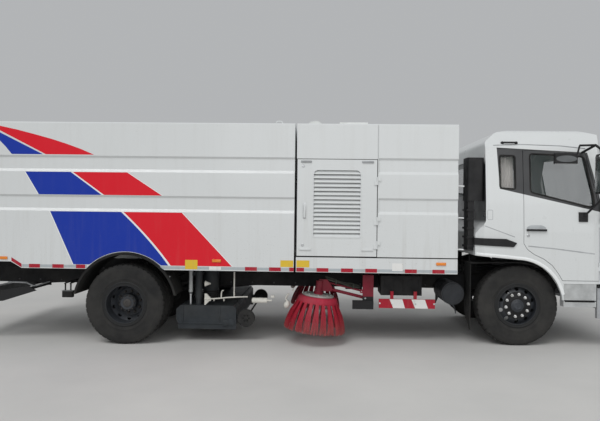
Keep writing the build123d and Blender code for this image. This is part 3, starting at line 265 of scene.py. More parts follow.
tyre_rubber = m = Maker("tyre_rubber", Specular_IOR_Level=0.3)
base = m.blotches(9.0, 6.0, (0.014, 0.014, 0.015), (0.026, 0.026, 0.025))
m.colour(m.mix(m.ramp(m.noise(3.0, 8.0), 0.35, 0.75, 0.05, 0.5), base, (0.06, 0.057, 0.052)))
m.rough(m.ramp(m.noise(14.0), 0.2, 0.8, 0.72, 0.92))
m.bump((m.noise(180.0, 3.0), 0.3, 0.0008), (m.noise(20.0), 0.15, 0.002))

window_glass = m = Maker("window_glass", Metallic=0.0, IOR=1.45, Alpha=0.17)
haze = m.ramp(m.noise(2.5, 5.0), 0.45, 0.85, 0.0, 0.25)
m.colour(m.mix(haze, (0.03, 0.055, 0.05), (0.16, 0.17, 0.17)))
m.rough(m.ramp(m.noise(8.0), 0.3, 0.8, 0.04, 0.10))
m.bump((m.noise(1.5, 2.0), 0.04, 0.002))
m.mat.surface_render_method = "BLENDED"


def lamp_plastic(name, colour):
    m = Maker(name, IOR=1.49, Coat_Weight=0.6)
    ribs = m.node("TexWave", {"Scale": 40.0, "Vector": m.place}, wave_type="BANDS", bands_direction="Y")
    m.colour(m.blotches(9.0, 3.0, colour, tuple(c * 0.82 for c in colour)))
    m.rough(m.ramp(m.noise(20.0, 3.0), 0.2, 0.8, 0.12, 0.28))
    m.bump((ribs["Fac"], 0.35, 0.002))
    return m


lamp_clear = lamp_plastic("lamp_clear", (0.75, 0.77, 0.78))
lamp_amber = lamp_plastic("lamp_amber", (0.85, 0.25, 0.02))
lamp_red = lamp_plastic("lamp_red", (0.55, 0.01, 0.015))
beacon_dome = lamp_plastic("beacon_dome", (0.78, 0.8, 0.78))

tape_red = paint("tape_red", (0.40, 0.010, 0.028), rough=0.4, coat=0.05, shine=0.3)
tape_silver = paint("tape_silver", (0.42, 0.46, 0.48), dirt=0.35, coat=0.1)
stripe_red = paint("stripe_red", (0.72, 0.008, 0.022), dirt=0.10, coat=0.06, shine=0.3)
stripe_blue = paint("stripe_blue", (0.005, 0.034, 0.36), dirt=0.10, coat=0.06, shine=0.3)
stripe_white = paint("stripe_white", (0.86, 0.88, 0.88), rough=0.24, dirt=0.08)
label_yellow = paint("label_yellow", (0.75, 0.50, 0.03), rough=0.4, dirt=0.3, coat=0.1)
label_white = paint("label_white", (0.80, 0.80, 0.78), rough=0.4, dirt=0.35, coat=0.1)
bright_steel = coarse("bright_steel", (0.72, 0.72, 0.70), 0.3, 0.15, 0.85, 300.0)
rusty_steel = coarse("rusty_steel", (0.05, 0.048, 0.046), 0.55, 0.4, 0.5, 160.0, (0.12, 0.10, 0.09))
hub_black = coarse("hub_black", (0.006, 0.006, 0.007), 0.45, 0.12, 0.0, 240.0, DULL, 0.3)
brush_collar = coarse("brush_collar", (0.30, 0.016, 0.036), 0.6, 0.35, 0.0, 90.0, (0.17, 0.09, 0.09), 0.3)
plate_grey = coarse("plate_grey", (0.34, 0.35, 0.33), 0.5, 0.4, 0.3, 90.0)
hose_green = coarse("hose_green", (0.035, 0.040, 0.032), 0.6, 0.5, 0.0, 220.0, (0.13, 0.13, 0.11), 0.35)
spray_white = coarse("spray_white", (0.62, 0.61, 0.56), 0.55, 0.3, 0.0, 200.0, (0.3, 0.28, 0.24))
# Grey for the crease beads: painted shade along the cab's creases and drip line
crease_shade = coarse("crease_shade", (0.30, 0.31, 0.32), 0.5, 0.2, 0.0, 200.0)
bowl_grey = coarse("bowl_grey", (0.36, 0.38, 0.39), 0.4, 0.15, 0.0, 200.0)
# Flat grey for the kerb mirror's face: a painted reflection in place of mirror glass
kerb_mirror_grey = coarse("kerb_mirror_grey", (0.085, 0.092, 0.096), 0.35, 0.2, 0.0, 200.0, DULL)
mirror_glass = coarse("mirror_glass", (0.75, 0.77, 0.78), 0.12, 0.1, 1.0, 400.0)

seat_cloth = m = Maker("seat_cloth", Sheen_Weight=0.25)
weave = m.node("TexVoronoi", {"Scale": 260.0, "Vector": m.place})["Distance"]
base = m.blotches(12.0, 4.0, (0.10, 0.11, 0.13), (0.17, 0.18, 0.2))
m.colour(m.mix(m.ramp(weave, 0.0, 0.5, 0.0, 0.4), base, (0.04, 0.04, 0.05)))
m.rough(m.ramp(m.noise(30.0, 3.0), 0.2, 0.8, 0.8, 0.95))
m.bump((weave, 0.4, 0.001))

# Curtain cloth painted brighter for the light falling on it behind the glass, with painted shade between the
# folds
curtain_cloth = m = Maker("curtain_cloth", Sheen_Weight=0.3)
weave = m.noise(600.0, 2.0)
fold_shade = m.ramp(m.noise(10.0, 3.0, (6.0, 6.0, 0.2)), 0.3, 0.7)
m.colour(m.mix(fold_shade, (0.95, 0.92, 0.89), (0.74, 0.70, 0.68)))
m.rough(m.ramp(weave, 0.2, 0.8, 0.82, 0.95))
m.bump((weave, 0.3, 0.0006))

# What each CAD node is made of; a star stands for right and for left
NODE_MATERIALS = {
    body_white: "hopper tailgate engine_housing *_engine_door",
    cab_white: "cab_shell *_door",
    chassis_black: (
        "frame_rails towing_jaw body_subframe front_axle rear_axle *_knuckle battery_box ram_barrels"
    ),
    engine_iron: "driveline sweeper_engine",
    tank_grey: "chassis_tanks",
    tape_red: "side_guards",
    rubber: "mudguards",
    bumper_grey: "bumpers",
    bracket_red: "brush_brackets",
    step_grey: "cab_steps",
    nozzle_paint: "suction_nozzle suction_ducts",
    lamp_clear: "lamps",
    beacon_dome: "roof_beacon",
    arm_red: "*_brush_arm *_brush_link *_brush_head",
    bristles: "*_brush",
    window_glass: "cab_glass *_door_glass",
    trim_black: "dashboard *_door_fittings front_grille cab_trim air_intake",
    seat_cloth: "cab_seats",
    curtain_cloth: "side_curtain",
    wheel_paint: "front_*_wheel rear_*_wheels",
    tyre_rubber: "front_*_tyre rear_*_tyres nozzle_wheels",
    bare_steel: "ram_rods",
}
for maker, names in NODE_MATERIALS.items():
    for name in names.split():
        for word, _ in SIDES:
            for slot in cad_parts[name.replace("*", word)].material_slots:
                slot.material = maker.mat


# A piece in the making, in truck millimetres. Its places have y outwards on the side that is drawn.
class Shape:
    def __init__(self, side=1):
        self.bm = bmesh.new()
        self.side = side

    def at(self, spot):
        return Vector((spot[0], self.side * spot[1], spot[2]))

    def vert(self, spot):
        return self.bm.verts.new(self.at(spot))

    # Faces between rows of vertices, each row running round where loop is set
    def skin(self, rows, loop=True):
        for low, high in zip(rows, rows[1:]):
            for i in range(len(low) - (not loop)):
                j = (i + 1) % len(low)
                self.bm.faces.new((low[i], low[j], high[j], high[i]))

    def caps(self, rows, turned=False):
        self.bm.faces.new(rows[0][::-1] if turned else rows[0])
        self.bm.faces.new(rows[-1])

    def block(self, x0, x1, y0, y1, z0, z1, bevel=0.0, steps=2):
        made = bmesh.ops.create_cube(self.bm, size=1.0)["verts"]
        size = Matrix.Diagonal((abs(x1 - x0), abs(y1 - y0), abs(z1 - z0), 1.0))
        where = Matrix.Translation(self.at(((x0 + x1) / 2, (y0 + y1) / 2, (z0 + z1) / 2)))
        bmesh.ops.transform(self.bm, matrix=where @ size, verts=made)
        if bevel:
            edges = list({e for v in made for e in v.link_edges})
            bmesh.ops.bevel(self.bm, geom=edges, offset=bevel, segments=steps, profile=0.5, affect="EDGES")

    # A profile of (radius, height) rows turned about an axis through a point
    def lathe(self, rows, origin, axis=OUT, steps=32, closed=False):
        turn = self.at(axis).normalized().to_track_quat("Z", "Y").to_matrix().to_4x4()
        spots = [(math.cos(TURN * i / steps), math.sin(TURN * i / steps)) for i in range(steps)]
        new, origin = self.bm.verts.new, self.at(origin)
        rings = [[new(origin + turn @ Vector((r * c, r * s, h))) for c, s in spots] for r, h in rows]
        self.skin(rings + rings[:1] if closed else rings)
        if not closed:
            for ring in (rings[0], rings[-1]):
                if (ring[0].co - ring[steps // 2].co).length > 1e-3:
                    self.bm.faces.new(ring)

    # Rings round the points of a line; the frames give each point's two directions
    def sweep(self, line, frames, sides, closed=False):
        turns = [(math.cos(TURN * k / sides), math.sin(TURN * k / sides)) for k in range(sides)]
        new = self.bm.verts.new
        rings = [[new(p + a * c + b * s) for c, s in turns] for p, (a, b) in zip(line, frames)]
        self.skin(rings + rings[:1] if closed else rings)
        if not closed:
            self.caps(rings)

    # A round tube through points, rounded between them
    def tube(self, points, radius, sides=12, fine=6):
        pts = [self.at(p) for p in points]
        line = pts
        if len(pts) > 2:
            line = []
            for i, (a, b) in enumerate(zip(pts, pts[1:])):
                before, after = pts[max(i - 1, 0)], pts[min(i + 2, len(pts) - 1)]
                bend = 2 * before - 5 * a + 4 * b - after
                twist = 3 * a - before - 3 * b + after
                for k in range(fine):
                    t = k / fine
                    line.append(0.5 * (2 * a + (b - before) * t + bend * t * t + twist * t ** 3))
            line.append(pts[-1])
        upward = Vector((0.13, 0.21, 0.97)).normalized()
        frames = []
        for i in range(len(line)):
            run = (line[min(i + 1, len(line) - 1)] - line[max(i - 1, 0)]).normalized()
            across = run.cross(upward).normalized()
            frames.append((radius * across, radius * across.cross(run)))
        self.sweep(line, frames, sides)

    # A strip of an oval section laid along points on a skin
    def bead(self, points, wide, high, outward=OUT, closed=False, sides=8):
        line, outward = [self.at(p) for p in points if p is not None], self.at(outward)
        n = len(line)
        frames = []
        for i in range(n):
            after = line[(i + 1) % n] if closed else line[min(i + 1, n - 1)]
            before = line[i - 1] if closed else line[max(i - 1, 0)]
            run = (after - before).normalized()
            across = run.cross(outward).normalized()
            out = across.cross(run).normalized()
            if out.dot(outward) < 0:
                out = -out
            frames.append((across * wide, out * high))
        self.sweep(line, frames, sides, closed)

    def side_bead(self, points, wide, high, closed=False, lift=0.0):
        line = [on_side(x, z, self.side, lift) for x, z in divided(points, 30, closed)]
        self.bead(line, wide, high, OUT, closed)

    # A flat outline of (x, z) points as a thin sheet standing on the side at y, thick outwards
    def sheet(self, points, y, thick):
        near, far = ([self.vert((x, d, z)) for x, z in points] for d in (y, y + thick))
        self.caps((near, far))
        self.skin((near, far))

    def moved(self, matrix):
        bmesh.ops.transform(self.bm, matrix=matrix, verts=self.bm.verts)

    def in_scene(self, name):
        self.moved(SET_DOWN)
        mesh = bpy.data.meshes.new(name)
        self.bm.to_mesh(mesh)
        self.bm.free()
        obj = bpy.data.objects.new(name, mesh)
        scene.collection.objects.link(obj)
        return obj

    # Faces are turned outwards, but not those of open sheets, nor of blocks thinner than their bevels
    def piece(self, name, body, maker, smooth=None, slot=None, turn=True):
        if turn:
            bmesh.ops.recalc_face_normals(self.bm, faces=self.bm.faces[:])
        obj = self.in_scene(name)
        obj.data.materials.append(maker.mat)
        if smooth is not None:
            obj.data.shade_smooth()
            obj.data.set_sharp_from_angle(angle=math.radians(smooth))
        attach(obj, body)
        return obj


# A block on both sides for each row of its limits
def blocks(name, body, maker, rows, bevel=0.0, smooth=None):
    s = Shape()
    for row in rows:
        for s.side in BOTH:
            s.block(*row, bevel)
    s.piece(name, body, maker, smooth)


# Flat outlines on both sides of the body, lying proud of it
def sheets(name, body, maker, outlines, proud=0.3, thick=0.6, sides=BOTH):
    s = Shape()
    for outline in outlines:
        for s.side in sides:
            s.sheet(outline, HALF_W + proud, thick)
    s.piece(name, body, maker)


def box(x0, x1, z0, z1):
    return [(x0, z0), (x1, z0), (x1, z1), (x0, z1)]


def circle(count, radius, x=0.0, z=0.0, phase=0.0):
    turns = [TURN * (k + phase) / count for k in range(count)]
    return [(x + radius * math.cos(a), z + radius * math.sin(a)) for a in turns]


# Stripes on the hopper's sides: flat outlines between the pressed channels
ARCH = (20, 505)
ARCH_R = 682
STRIPE_FOOT = 1016


def over_arch(radius, z_low, steps=24):
    reach = math.acos(min(1.0, (z_low - ARCH[1]) / radius))
    turns = [-reach + 2 * reach * i / steps for i in range(steps + 1)]
    return [(ARCH[0] + radius * math.sin(a), ARCH[1] + radius * math.cos(a)) for a in turns]


# Points on a line from a to b that bulges to +x by bow
def bowed(a, b, bow=30, steps=10):
    shares = [k / steps for k in range(steps + 1)]
    return [(a[0] + (b[0] - a[0]) * t + 4 * bow * t * (1 - t), a[1] + (b[1] - a[1]) * t) for t in shares]


LOWER_BLUE = (
    [(-948, 1686)] + bowed((-38, 1686), (572, STRIPE_FOOT)) + [(478, STRIPE_FOOT)]
    + over_arch(ARCH_R, STRIPE_FOOT)[::-1][1:-1] + [(-438, STRIPE_FOOT), (-641, STRIPE_FOOT)]
)
LOWER_RED = [(735, 1686), (1376, STRIPE_FOOT)] + bowed((-6, 1686), (602, STRIPE_FOOT))[::-1]
STRIPES = (
    ("upper_red", stripe_red, [
        (-1815, 2800), (-1609, 2766), (-1380, 2718), (-1146, 2659), (-940, 2604), (-751, 2545),
        (-560, 2478), (-394, 2408), (-1012, 2408), (-1608, 2708),
    ]),
    ("upper_blue", stripe_blue, [
        (-1862, 2808), (-1608, 2682), (-1050, 2408), (-1452, 2408), (-1530, 2500), (-1607, 2578),
        (-1740, 2700), (-1880, 2806),
    ]),
    ("middle_blue", stripe_blue, [(-1273, 2187), (-690, 2187), (-290, 1899), (-1096, 1899)]),
    ("middle_red", stripe_red, [(-662, 2187), (34, 2187), (480, 1899), (-258, 1899)]),
    ("lower_blue", stripe_blue, LOWER_BLUE),
    ("lower_red", stripe_red, LOWER_RED),
)
for name, maker, points in STRIPES:
    sheets("stripe_" + name, "hopper", maker, [points])
# White lines (points, width) beside and between the stripes
EDGES = (
    (((-676, 2187), (-274, 1899)), 28),
    (bowed((-22, 1686), (587, STRIPE_FOOT)), 30),
    (((41, 2187), (487, 1899)), 14),
    (((742, 1686), (1383, STRIPE_FOOT)), 14),
    (((-1280, 2187), (-1103, 1899)), 12),
    (((-955, 1686), (-648, STRIPE_FOOT)), 12),
)
outlines = [[(x - w / 2, z) for x, z in line] + [(x + w / 2, z) for x, z in line[::-1]] for line, w in EDGES]
sheets("stripe_edges", "hopper", stripe_white, outlines, 0.7, 0.4)

# Reflective tape along the skirts: (body, silver runs, red fields, further red outlines)
TAPE = (
    ("hopper", ((-1305, -470), (470, 2156)),
     ((-1213, -1071), (-912, -766), (-608, -490), (1544, 1693), (1846, 1994), (2100, 2156)),
     [[(-1441, 1048), (-1309, 967), (-1309, 1013), (-1441, 1094)]]),
    ("chassis", ((2182, 4190),),
     ((2191, 2286), (2443, 2591), (2749, 2897), (3051, 3198), (3543, 3691), (3884, 4035)), []),
)
for body, runs, reds, more in TAPE:
    sheets("tape_silver_" + body, body, tape_silver, [box(*run, 972, 1008) for run in runs], 0.3, 0.5)
    sheets("tape_red_" + body, body, tape_red, [box(*red, 966, 1013) for red in reds] + more, 1.0, 0.4)
LABELS = (
    ("hopper", ((785, 942, 975, 1092), (1988, 2150, 1020, 1103)), ((1089, 1240, 972, 1013),)),
    ("chassis", ((2190, 2352, 1020, 1106),), ((3384, 3520, 990, 1086),)),
)
for body, *colours in LABELS:
    for name, maker, rows in zip(("yellow_", "white_"), (label_yellow, label_white), colours):
        sheets("label_" + name + body, body, maker, [box(*row) for row in rows], 1.5, 0.5, (-1,))
# Amber side markers
for body, rows in (("chassis", ((3929, 4052),)), ("hopper", ((1126, 1239), (-1589, -1490)))):
    limits = [(x0, x1, HALF_W + 0.3, HALF_W + 14, 1066, 1104) for x0, x1 in rows]
    blocks("side_markers_" + body, body, lamp_amber, limits, 6, 40)

# Tyres of the same size as their solids: a ribbed carcass of (radius, half width) rows, and rows of
# lugs as (middle, count, shift, skew, outline of (y, radius))
TYRE_SIDE = (
    (253, 100), (258, 107), (270, 111), (284, 113), (290, 117), (300, 119), (318, 122.5), (322, 125),
    (328, 125.2), (334, 123.8), (360, 127), (395, 129.3), (425, 128.6), (432, 129.4), (438, 129.2),
    (444, 127.6), (458, 126.5), (470, 125), (482, 121.5), (492, 115), (496, 106), (497, 92),
)
TREAD_ROWS = (
    (-97, 46, 0.0, 0.0, ((-23, 484), (-21, 493), (-14, 501.5), (12, 508.6), (20, 508.9), (23, 494))),
    (-49, 58, 0.5, 0.10, ((-17, 494), (-17, 508.9), (17, 509), (17, 494))),
    (0, 58, 0.0, -0.10, ((-20, 494), (-20, 509), (20, 509), (20, 494))),
    (49, 58, 0.5, 0.10, ((-17, 494), (-17, 509), (17, 508.9), (17, 494))),
    (97, 46, 0.0, 0.0, ((-23, 494), (-20, 508.9), (-12, 508.6), (14, 501.5), (21, 493), (23, 484))),
)
LUG_SHARE = 0.8


def tyre(s, hub, y, start=0.0):
    rows = [(r, -w) for r, w in TYRE_SIDE] + [(r, w) for r, w in reversed(TYRE_SIDE)]
    s.lathe(rows, (hub[0], y, hub[1]), OUT, 120, True)
    for middle, count, shift, skew, outline in TREAD_ROWS:
        for k in range(count):
            first = TURN * (k + shift) / count + start
            rings = []
            for step in range(3):
                ring = []
                for w, r in outline:
                    a = first + TURN / count * LUG_SHARE * step / 2 + skew * w / 17 * 0.35
                    ring.append(s.vert((hub[0] + r * math.cos(a), y + middle + w, hub[1] + r * math.sin(a))))
                rings.append(ring)
            s.skin(rings, False)
            s.caps(rings, True)


TYRES = (
    ("front", FRONT_HUB, "wheel", "tyre", (947,)),
    ("rear", REAR_HUB, "wheels", "tyres", (1078, 782)),
)
for end, hub, wheel_word, tyre_word, rows in TYRES:
    for word, side in SIDES:
        s = Shape()
        for k, y in enumerate(rows):
            tyre(s, hub, side * y, 0.03 * k)
        body = f"{end}_{word}_{wheel_word}"
        made = s.piece(f"{end}_{word}_treaded_{tyre_word}", body, tyre_rubber, 30)
        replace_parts(made, f"{end}_{word}_{tyre_word}")


# Nuts on their studs
def nuts(s, hub, y, across=16.5, height=24, count=10, radius=142, phase=0.25):
    nut = [(1.25 * across, 0), (1.25 * across, 4), (1.02 * across, 5), (1.02 * across, height - 3),
           (0.85 * across, height)]
    for x, z in circle(count, radius, *hub, phase):
        s.lathe(nut, (x, y, z), OUT, 6)
        s.lathe([(8.5, height - 2), (8.5, height + 10), (7, height + 12)], (x, y, z), OUT, 10)


HUB_PLATE = [(60, 1047), (168, 1047), (176, 1050), (176, 1052.5), (168, 1053.5), (108, 1053), (96, 1058),
             (92, 1064)]
HUB_CAP = [(62, 1074), (58, 1079), (50, 1084), (40, 1086), (36, 1083), (12, 1083), (10, 1088)]
AXLE_END = [(52, 1089), (52, 1096), (47, 1099), (20, 1100), (17, 1096)]
LOCK_RING = [(284, 108), (288, 112), (288, 119), (282, 122), (270, 122), (262, 119), (256, 120.5),
             (250, 119), (240, 118.6), (240, 108)]
VALVE_TURN = 1.9
for word, side in SIDES:
    front, rear = f"front_{word}_wheel", f"rear_{word}_wheels"
    middle = (FRONT_HUB[0], 0, FRONT_HUB[1])
    s = Shape(side)
    nuts(s, FRONT_HUB, 1052)
    s.piece(f"front_{word}_nuts", front, bright_steel, 30)
    s = Shape(side)
    s.lathe(HUB_PLATE, middle, OUT, 48)
    s.piece(f"front_{word}_hub_plate", front, hub_black, 30)
    s = Shape(side)
    s.lathe(HUB_CAP, middle)
    for x, z in circle(6, 74, *FRONT_HUB):
        s.lathe([(6.5, 1078), (6.5, 1085), (5, 1086)], (x, 0, z), OUT, 6)
    s.piece(f"front_{word}_hub_cap", front, wheel_paint, 30)
    s = Shape(side)
    nuts(s, REAR_HUB, 958.5, 17.5, 30)
    for x, z in circle(12, 96, *REAR_HUB, 0.5):
        s.lathe([(9, 1072), (9, 1096), (7, 1098)], (x, 0, z), OUT, 6)
    s.lathe(AXLE_END, (0, 0, REAR_HUB[1]))
    s.piece(f"rear_{word}_nuts", rear, rusty_steel, 30)
    # A lock ring on each rim's edge and a valve in a hand hole
    for body, hub, y, stem in ((front, FRONT_HUB, 947, 1010), (rear, REAR_HUB, 1078, 990)):
        s = Shape(side)
        s.lathe(LOCK_RING, (hub[0], y, hub[1]), OUT, 64, True)
        valve = [(hub[0] + r * math.cos(VALVE_TURN), stem + far, hub[1] + r * math.sin(VALVE_TURN))
                 for r, far in ((222, -10), (230, 40), (226, 60))]
        s.tube(valve, 5, 8, 3)
        s.piece(body + "_lock_ring", body, wheel_paint, 30)

# Side brushes: a pale plate, a red collar and flat bunches of bristles that widen downwards
BRUSH = (2465, 950, 610)
BRUSH_TILT = math.radians(6)
BUNCHES = 22
STRANDS = 34
BRISTLE_REACH = 397
BRISTLE_PATH = ((240, -36), (262, -58), (292, -128), (336, -215), (366, -300), (384, -370), (392, -430))
PLATE = [(60, 10), (198, 12), (204, 16), (205, 30), (201, 34), (120, 34.2), (112, 37), (60, 37)]
COLLAR = [(140, 11), (216, 12), (236, 6), (252, -12), (263, -40), (266, -66), (258, -74), (200, -72),
          (140, -60)]
for word, side in SIDES:
    body = word + "_brush"
    seat = Matrix.Translation((BRUSH[0], side * BRUSH[1], BRUSH[2])) @ Matrix.Rotation(BRUSH_TILT, 4, "Y")
    chance = random.Random(7)
    plate, collar, hair = Shape(), Shape(), Shape()
    plate.lathe(PLATE, (0, 0, 0), UP, 64)
    for x, y in circle(8, 165):
        plate.lathe([(11, 33), (11, 42), (9, 44)], (x, y, 0), UP, 6)
    collar.lathe(COLLAR, (0, 0, 0), UP, 64)
    for x, y in circle(30, 1):
        collar.lathe([(15, 0), (15, 6), (11, 8)], (244 * x, 244 * y, -14), (x, y, 1), 8)
    for bunch in range(BUNCHES):
        middle = TURN * (bunch + 0.5) / BUNCHES
        lean = chance.uniform(-0.045, 0.045)
        flare = chance.uniform(0.94, 1.02)
        for strand in range(STRANDS):
            half = STRANDS // 2
            u = (strand % half) / (half - 1) - 0.5
            layer = -3.5 if strand < half else 3.5
            sway = chance.uniform(-0.016, 0.016)
            short = chance.uniform(0.93, 1.0)
            wide = chance.uniform(1.9, 2.9)
            rings = []
            for step, (r, h) in enumerate(BRISTLE_PATH):
                t = step / (len(BRISTLE_PATH) - 1)
                reach = 228 + (r - 228) * (1 + (flare - 1) * t) + layer * (1 + t)
                a = middle + u * (0.10 + 0.145 * t) + (lean + sway) * t * t
                thin = wide * (1 - 0.3 * t)
                out = Vector((math.cos(a), math.sin(a), 0))
                along = Vector((-math.sin(a), math.cos(a), 0))
                spot = out * min(reach, BRISTLE_REACH) + Vector((0, 0, h * (1 if step == 0 else short)))
                section = ((-1.6, -thin), (-1.6, thin), (1.6, thin), (1.6, -thin))
                rings.append([hair.vert(spot + out * o + along * n) for o, n in section])
            hair.skin(rings)
            hair.caps(rings, True)
    for s in (plate, collar, hair):
        s.moved(seat)
    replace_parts(hair.piece(word + "_bristles", body, bristles, turn=False), body)
    collar.piece(word + "_brush_collar", body, brush_collar, 35)
    plate.piece(word + "_brush_plate", body, plate_grey, 35)

# Brush arms: hoses clipped along each upper link, and the nuts of its pins
HOSE_RUNS = (
    (880, ((3015, 726), (2930, 752), (2800, 776), (2680, 812), (2572, 850))),
    (898, ((3018, 744), (2900, 782), (2790, 792), (2660, 838), (2560, 866))),
    (930, ((3010, 732), (2880, 748), (2760, 792), (2640, 820), (2580, 842))),
)
for word, side in SIDES:
    s = Shape(side)
    for y, line in HOSE_RUNS:
        s.tube([(x, y, z) for x, z in line], 9, 8, 5)
    for x, z in ((2925, 731), (2700, 784)):
        s.block(x - 9, x + 9, 868, 946, z - 12, z + 50, 5)
    s.piece(word + "_link_hoses", word + "_brush_link", hose_green, 50)
    s = Shape(side)
    for x, z, r in ((3080, 600, 21), (3030, 690, 15)):
        s.lathe([(r, 940.3), (r, 952), (r - 5, 955), (r - 9, 962)], (x, 0, z), OUT, 6)
    s.piece(word + "_pin_nuts", "chassis", bare_steel, 35)

# Engine doors: a raised frame with rounded upper corners round the louvres, bars, a grip and a lock
LOUVRE = (2384, 2993, 1394, 2252)
LOUVRE_CORNERS = (
    (LOUVRE[0] + 16, LOUVRE[2] + 16, 180, 16),
    (LOUVRE[1] - 16, LOUVRE[2] + 16, 270, 16),
    (LOUVRE[1] - 66, LOUVRE[3] - 66, 0, 66),
    (LOUVRE[0] + 66, LOUVRE[3] - 66, 90, 66),
)
FRAME_WIDTH = 12
DOOR_GAPS = ((2184, 2189, 1162, 2381), (3188, 3196, 1162, 2381), (2184, 3196, 2376, 2382),
             (2184, 3196, 1148, 1163))


def louvre_line(inset):
    turns = [(*corner, math.radians(corner[2] + 15 * k)) for corner in LOUVRE_CORNERS for k in range(7)]
    return [(x + (r - inset) * math.cos(a), z + (r - inset) * math.sin(a)) for x, z, _, r, a in turns]


for word, side in SIDES:
    body = word + "_engine_door"
    s = Shape(side)
    lifts = ((0, 0.2), (0, 5), (FRAME_WIDTH, 5), (FRAME_WIDTH, 0.2))
    s.skin([[s.vert((x, HALF_W + lift, z)) for x, z in louvre_line(inset)] for inset, lift in lifts])
    # Plates that close the square corners of the louvre behind the rounded frame
    for way, x in ((-1, 2393), (1, 2984)):
        turns = [math.radians(90 * k / 8) for k in range(1, 8)]
        arc = [(x - way * 60 + way * 60 * math.sin(a), 2180 + 60 * math.cos(a)) for a in turns]
        s.sheet([(x, 2240), (x - way * 60, 2240), *arc, (x, 2180)], HALF_W - 3, 3)
    s.piece(word + "_louvre_frame", body, body_white, 30)
    for name, maker, rows, z0, z1 in (
        ("_door_grips", steel_grey, ((2234, 2368), (2997, 3143)), 2334, 2358),
        ("_door_rests", body_white, ((2222, 2370), (2997, 3143)), 1234, 1264),
    ):
        s = Shape(side)
        for row in rows:
            s.block(*row, HALF_W + 0.3, HALF_W + 12, z0, z1, 4)
        s.piece(word + name, body, maker, 30)
    s = Shape(side)
    s.block(2264, 2300, HALF_W + 0.2, HALF_W + 3, 1632, 1832, 2)
    for z in (1300, 2290):
        s.lathe([(17, 0.3), (17, 5), (13, 8), (4, 8)], (2262, HALF_W, z), OUT, 20)
    s.piece(word + "_door_lock", body, bare_steel, 30, "steel_grey")
    # Dark gaskets in the gaps round the door
    s = Shape(side)
    for x0, x1, z0, z1 in DOOR_GAPS:
        s.block(x0, x1, HALF_W - 34, HALF_W - 12, z0, z1)
    s.piece(word + "_door_gasket", "chassis", rubber)

# Seam between the tank and the skirt, ladder hooks on the tank's front wall
blocks("skirt_seam", "chassis", rubber, [(3198, 4194, HALF_W - 20, HALF_W - 6, 1148, 1158)])
s = Shape()
for s.side in BOTH:
    for z in (2061, 1662, 1268):
        s.tube([(4196, 1195, z), (4240, 1196, z), (4278, 1200, z - 3)], 8, 8, 3)
        s.lathe([(18, 0), (18, 5), (13, 7)], (4195, 1195, z), AHEAD, 12)
s.piece("wall_hooks", "chassis", stripe_white, 40)

# Side guards: white slanted fields on red
GUARD_Y = 1012
for word, side in SIDES[::-1]:
    s = Shape(side)
    for a, b, c, d in ((3387, 3552, 3586, 3435), (3668, 3840, 3881, 3716)):
        s.sheet([(a, 603), (b, 603), (c, 488), (d, 488)], GUARD_Y + 0.3, 0.5)
    s.piece(word + "_guard_fields", "chassis", label_white, slot="guard_stripes")
    s = Shape(side)
    for x in (3262, 3420, 3720, 3958):
        s.lathe([(12, 0.3), (12, 3), (9, 4), (9, 9), (7, 10)], (x, GUARD_Y, 546), OUT, 6)
    s.piece(word + "_guard_bolts", "chassis", bare_steel, 40)

# Tanks: straps, cap and seams; battery box: lid, catch and ribs
AIR_TANK = (4200, 683)
s = Shape()
for x in (3400, 3620, 3840, 4050):
    for row in ((556, 964, 922, 929), (958, 965, 612, 928), (556, 964, 610, 617)):
        s.block(x, x + 36, *row, 2)
s.lathe([(52, 0), (52, 22), (46, 30), (20, 32)], (3360, 800, 925), UP, 24)
for y in (-520, -700, -900):
    s.lathe([(147, -14), (148.5, -12), (148.5, 12), (147, 14)], (AIR_TANK[0], y, AIR_TANK[1]), OUT, 48)
END_CAP = [(120, 985), (128, 990), (126, 994), (60, 1002), (20, 1004)]
s.lathe(END_CAP, (AIR_TANK[0], 0, AIR_TANK[1]), (0, -1, 0), 48)
s.tube([(4190, -960, 540), (4215, -985, 520), (4232, -990, 470), (4240, -985, 430)], 8, 8, 4)
s.piece("tank_fittings", "chassis", tank_grey, 35)
s = Shape()
s.block(3276, 3813, -966, -556, 862, 899, 6)
for x in (3330, 3450, 3570, 3690, 3770):
    s.block(x - 6, x + 6, -965, -960, 652, 858, 2)
s.block(3530, 3560, -972, -962, 820, 880, 3)
s.piece("battery_lid", "chassis", chassis_black, 35)

# Suction nozzle: spray bar with small jets, fans, a lift rod, a cylinder and hoses
s = Shape()
for s.side in BOTH:
    s.tube([(985, 985, 560), (1140, 985, 570), (1340, 985, 590), (1551, 985, 600)], 9, 10, 4)
    for x in (1030, 1062, 1110, 1240):
        s.lathe([(8, 0), (8, -20), (5, -30)], (x, 985, 566), UP, 10)
    s.tube([(1204, 985, 575), (1206, 985, 640), (1216, 985, 672), (1236, 985, 676)], 8, 10, 4)
    s.tube([(1365, 930, 590), (1365, 930, 915)], 10, 10)
    s.lathe([(30, 0), (34, 6), (34, 190), (30, 196), (12, 200), (12, 260)], (1608, 985, 556), AHEAD, 24)
    s.block(1850, 1900, 960, 985, 590, 622, 4)
s.piece("spray_bars", "suction_nozzle", spray_white, 40)
s = Shape()
for s.side in BOTH:
    s.lathe([(38, 0), (36, 6), (12, 62), (9, 74)], (988, 975, 762), AHEAD, 20)
    s.sheet([(985, 631), (1010, 631), (1066, 574), (1066, 556), (1000, 486), (985, 484)], 962, 22)
s.piece("spray_horns", "chassis", spray_white, 40)
CASTER = (1535, 323)
CASTER_FACE = [(108, 1000), (108, 1008.6), (92, 1010), (62, 1003), (54, 1003)]
faces, bolts = Shape(), Shape()
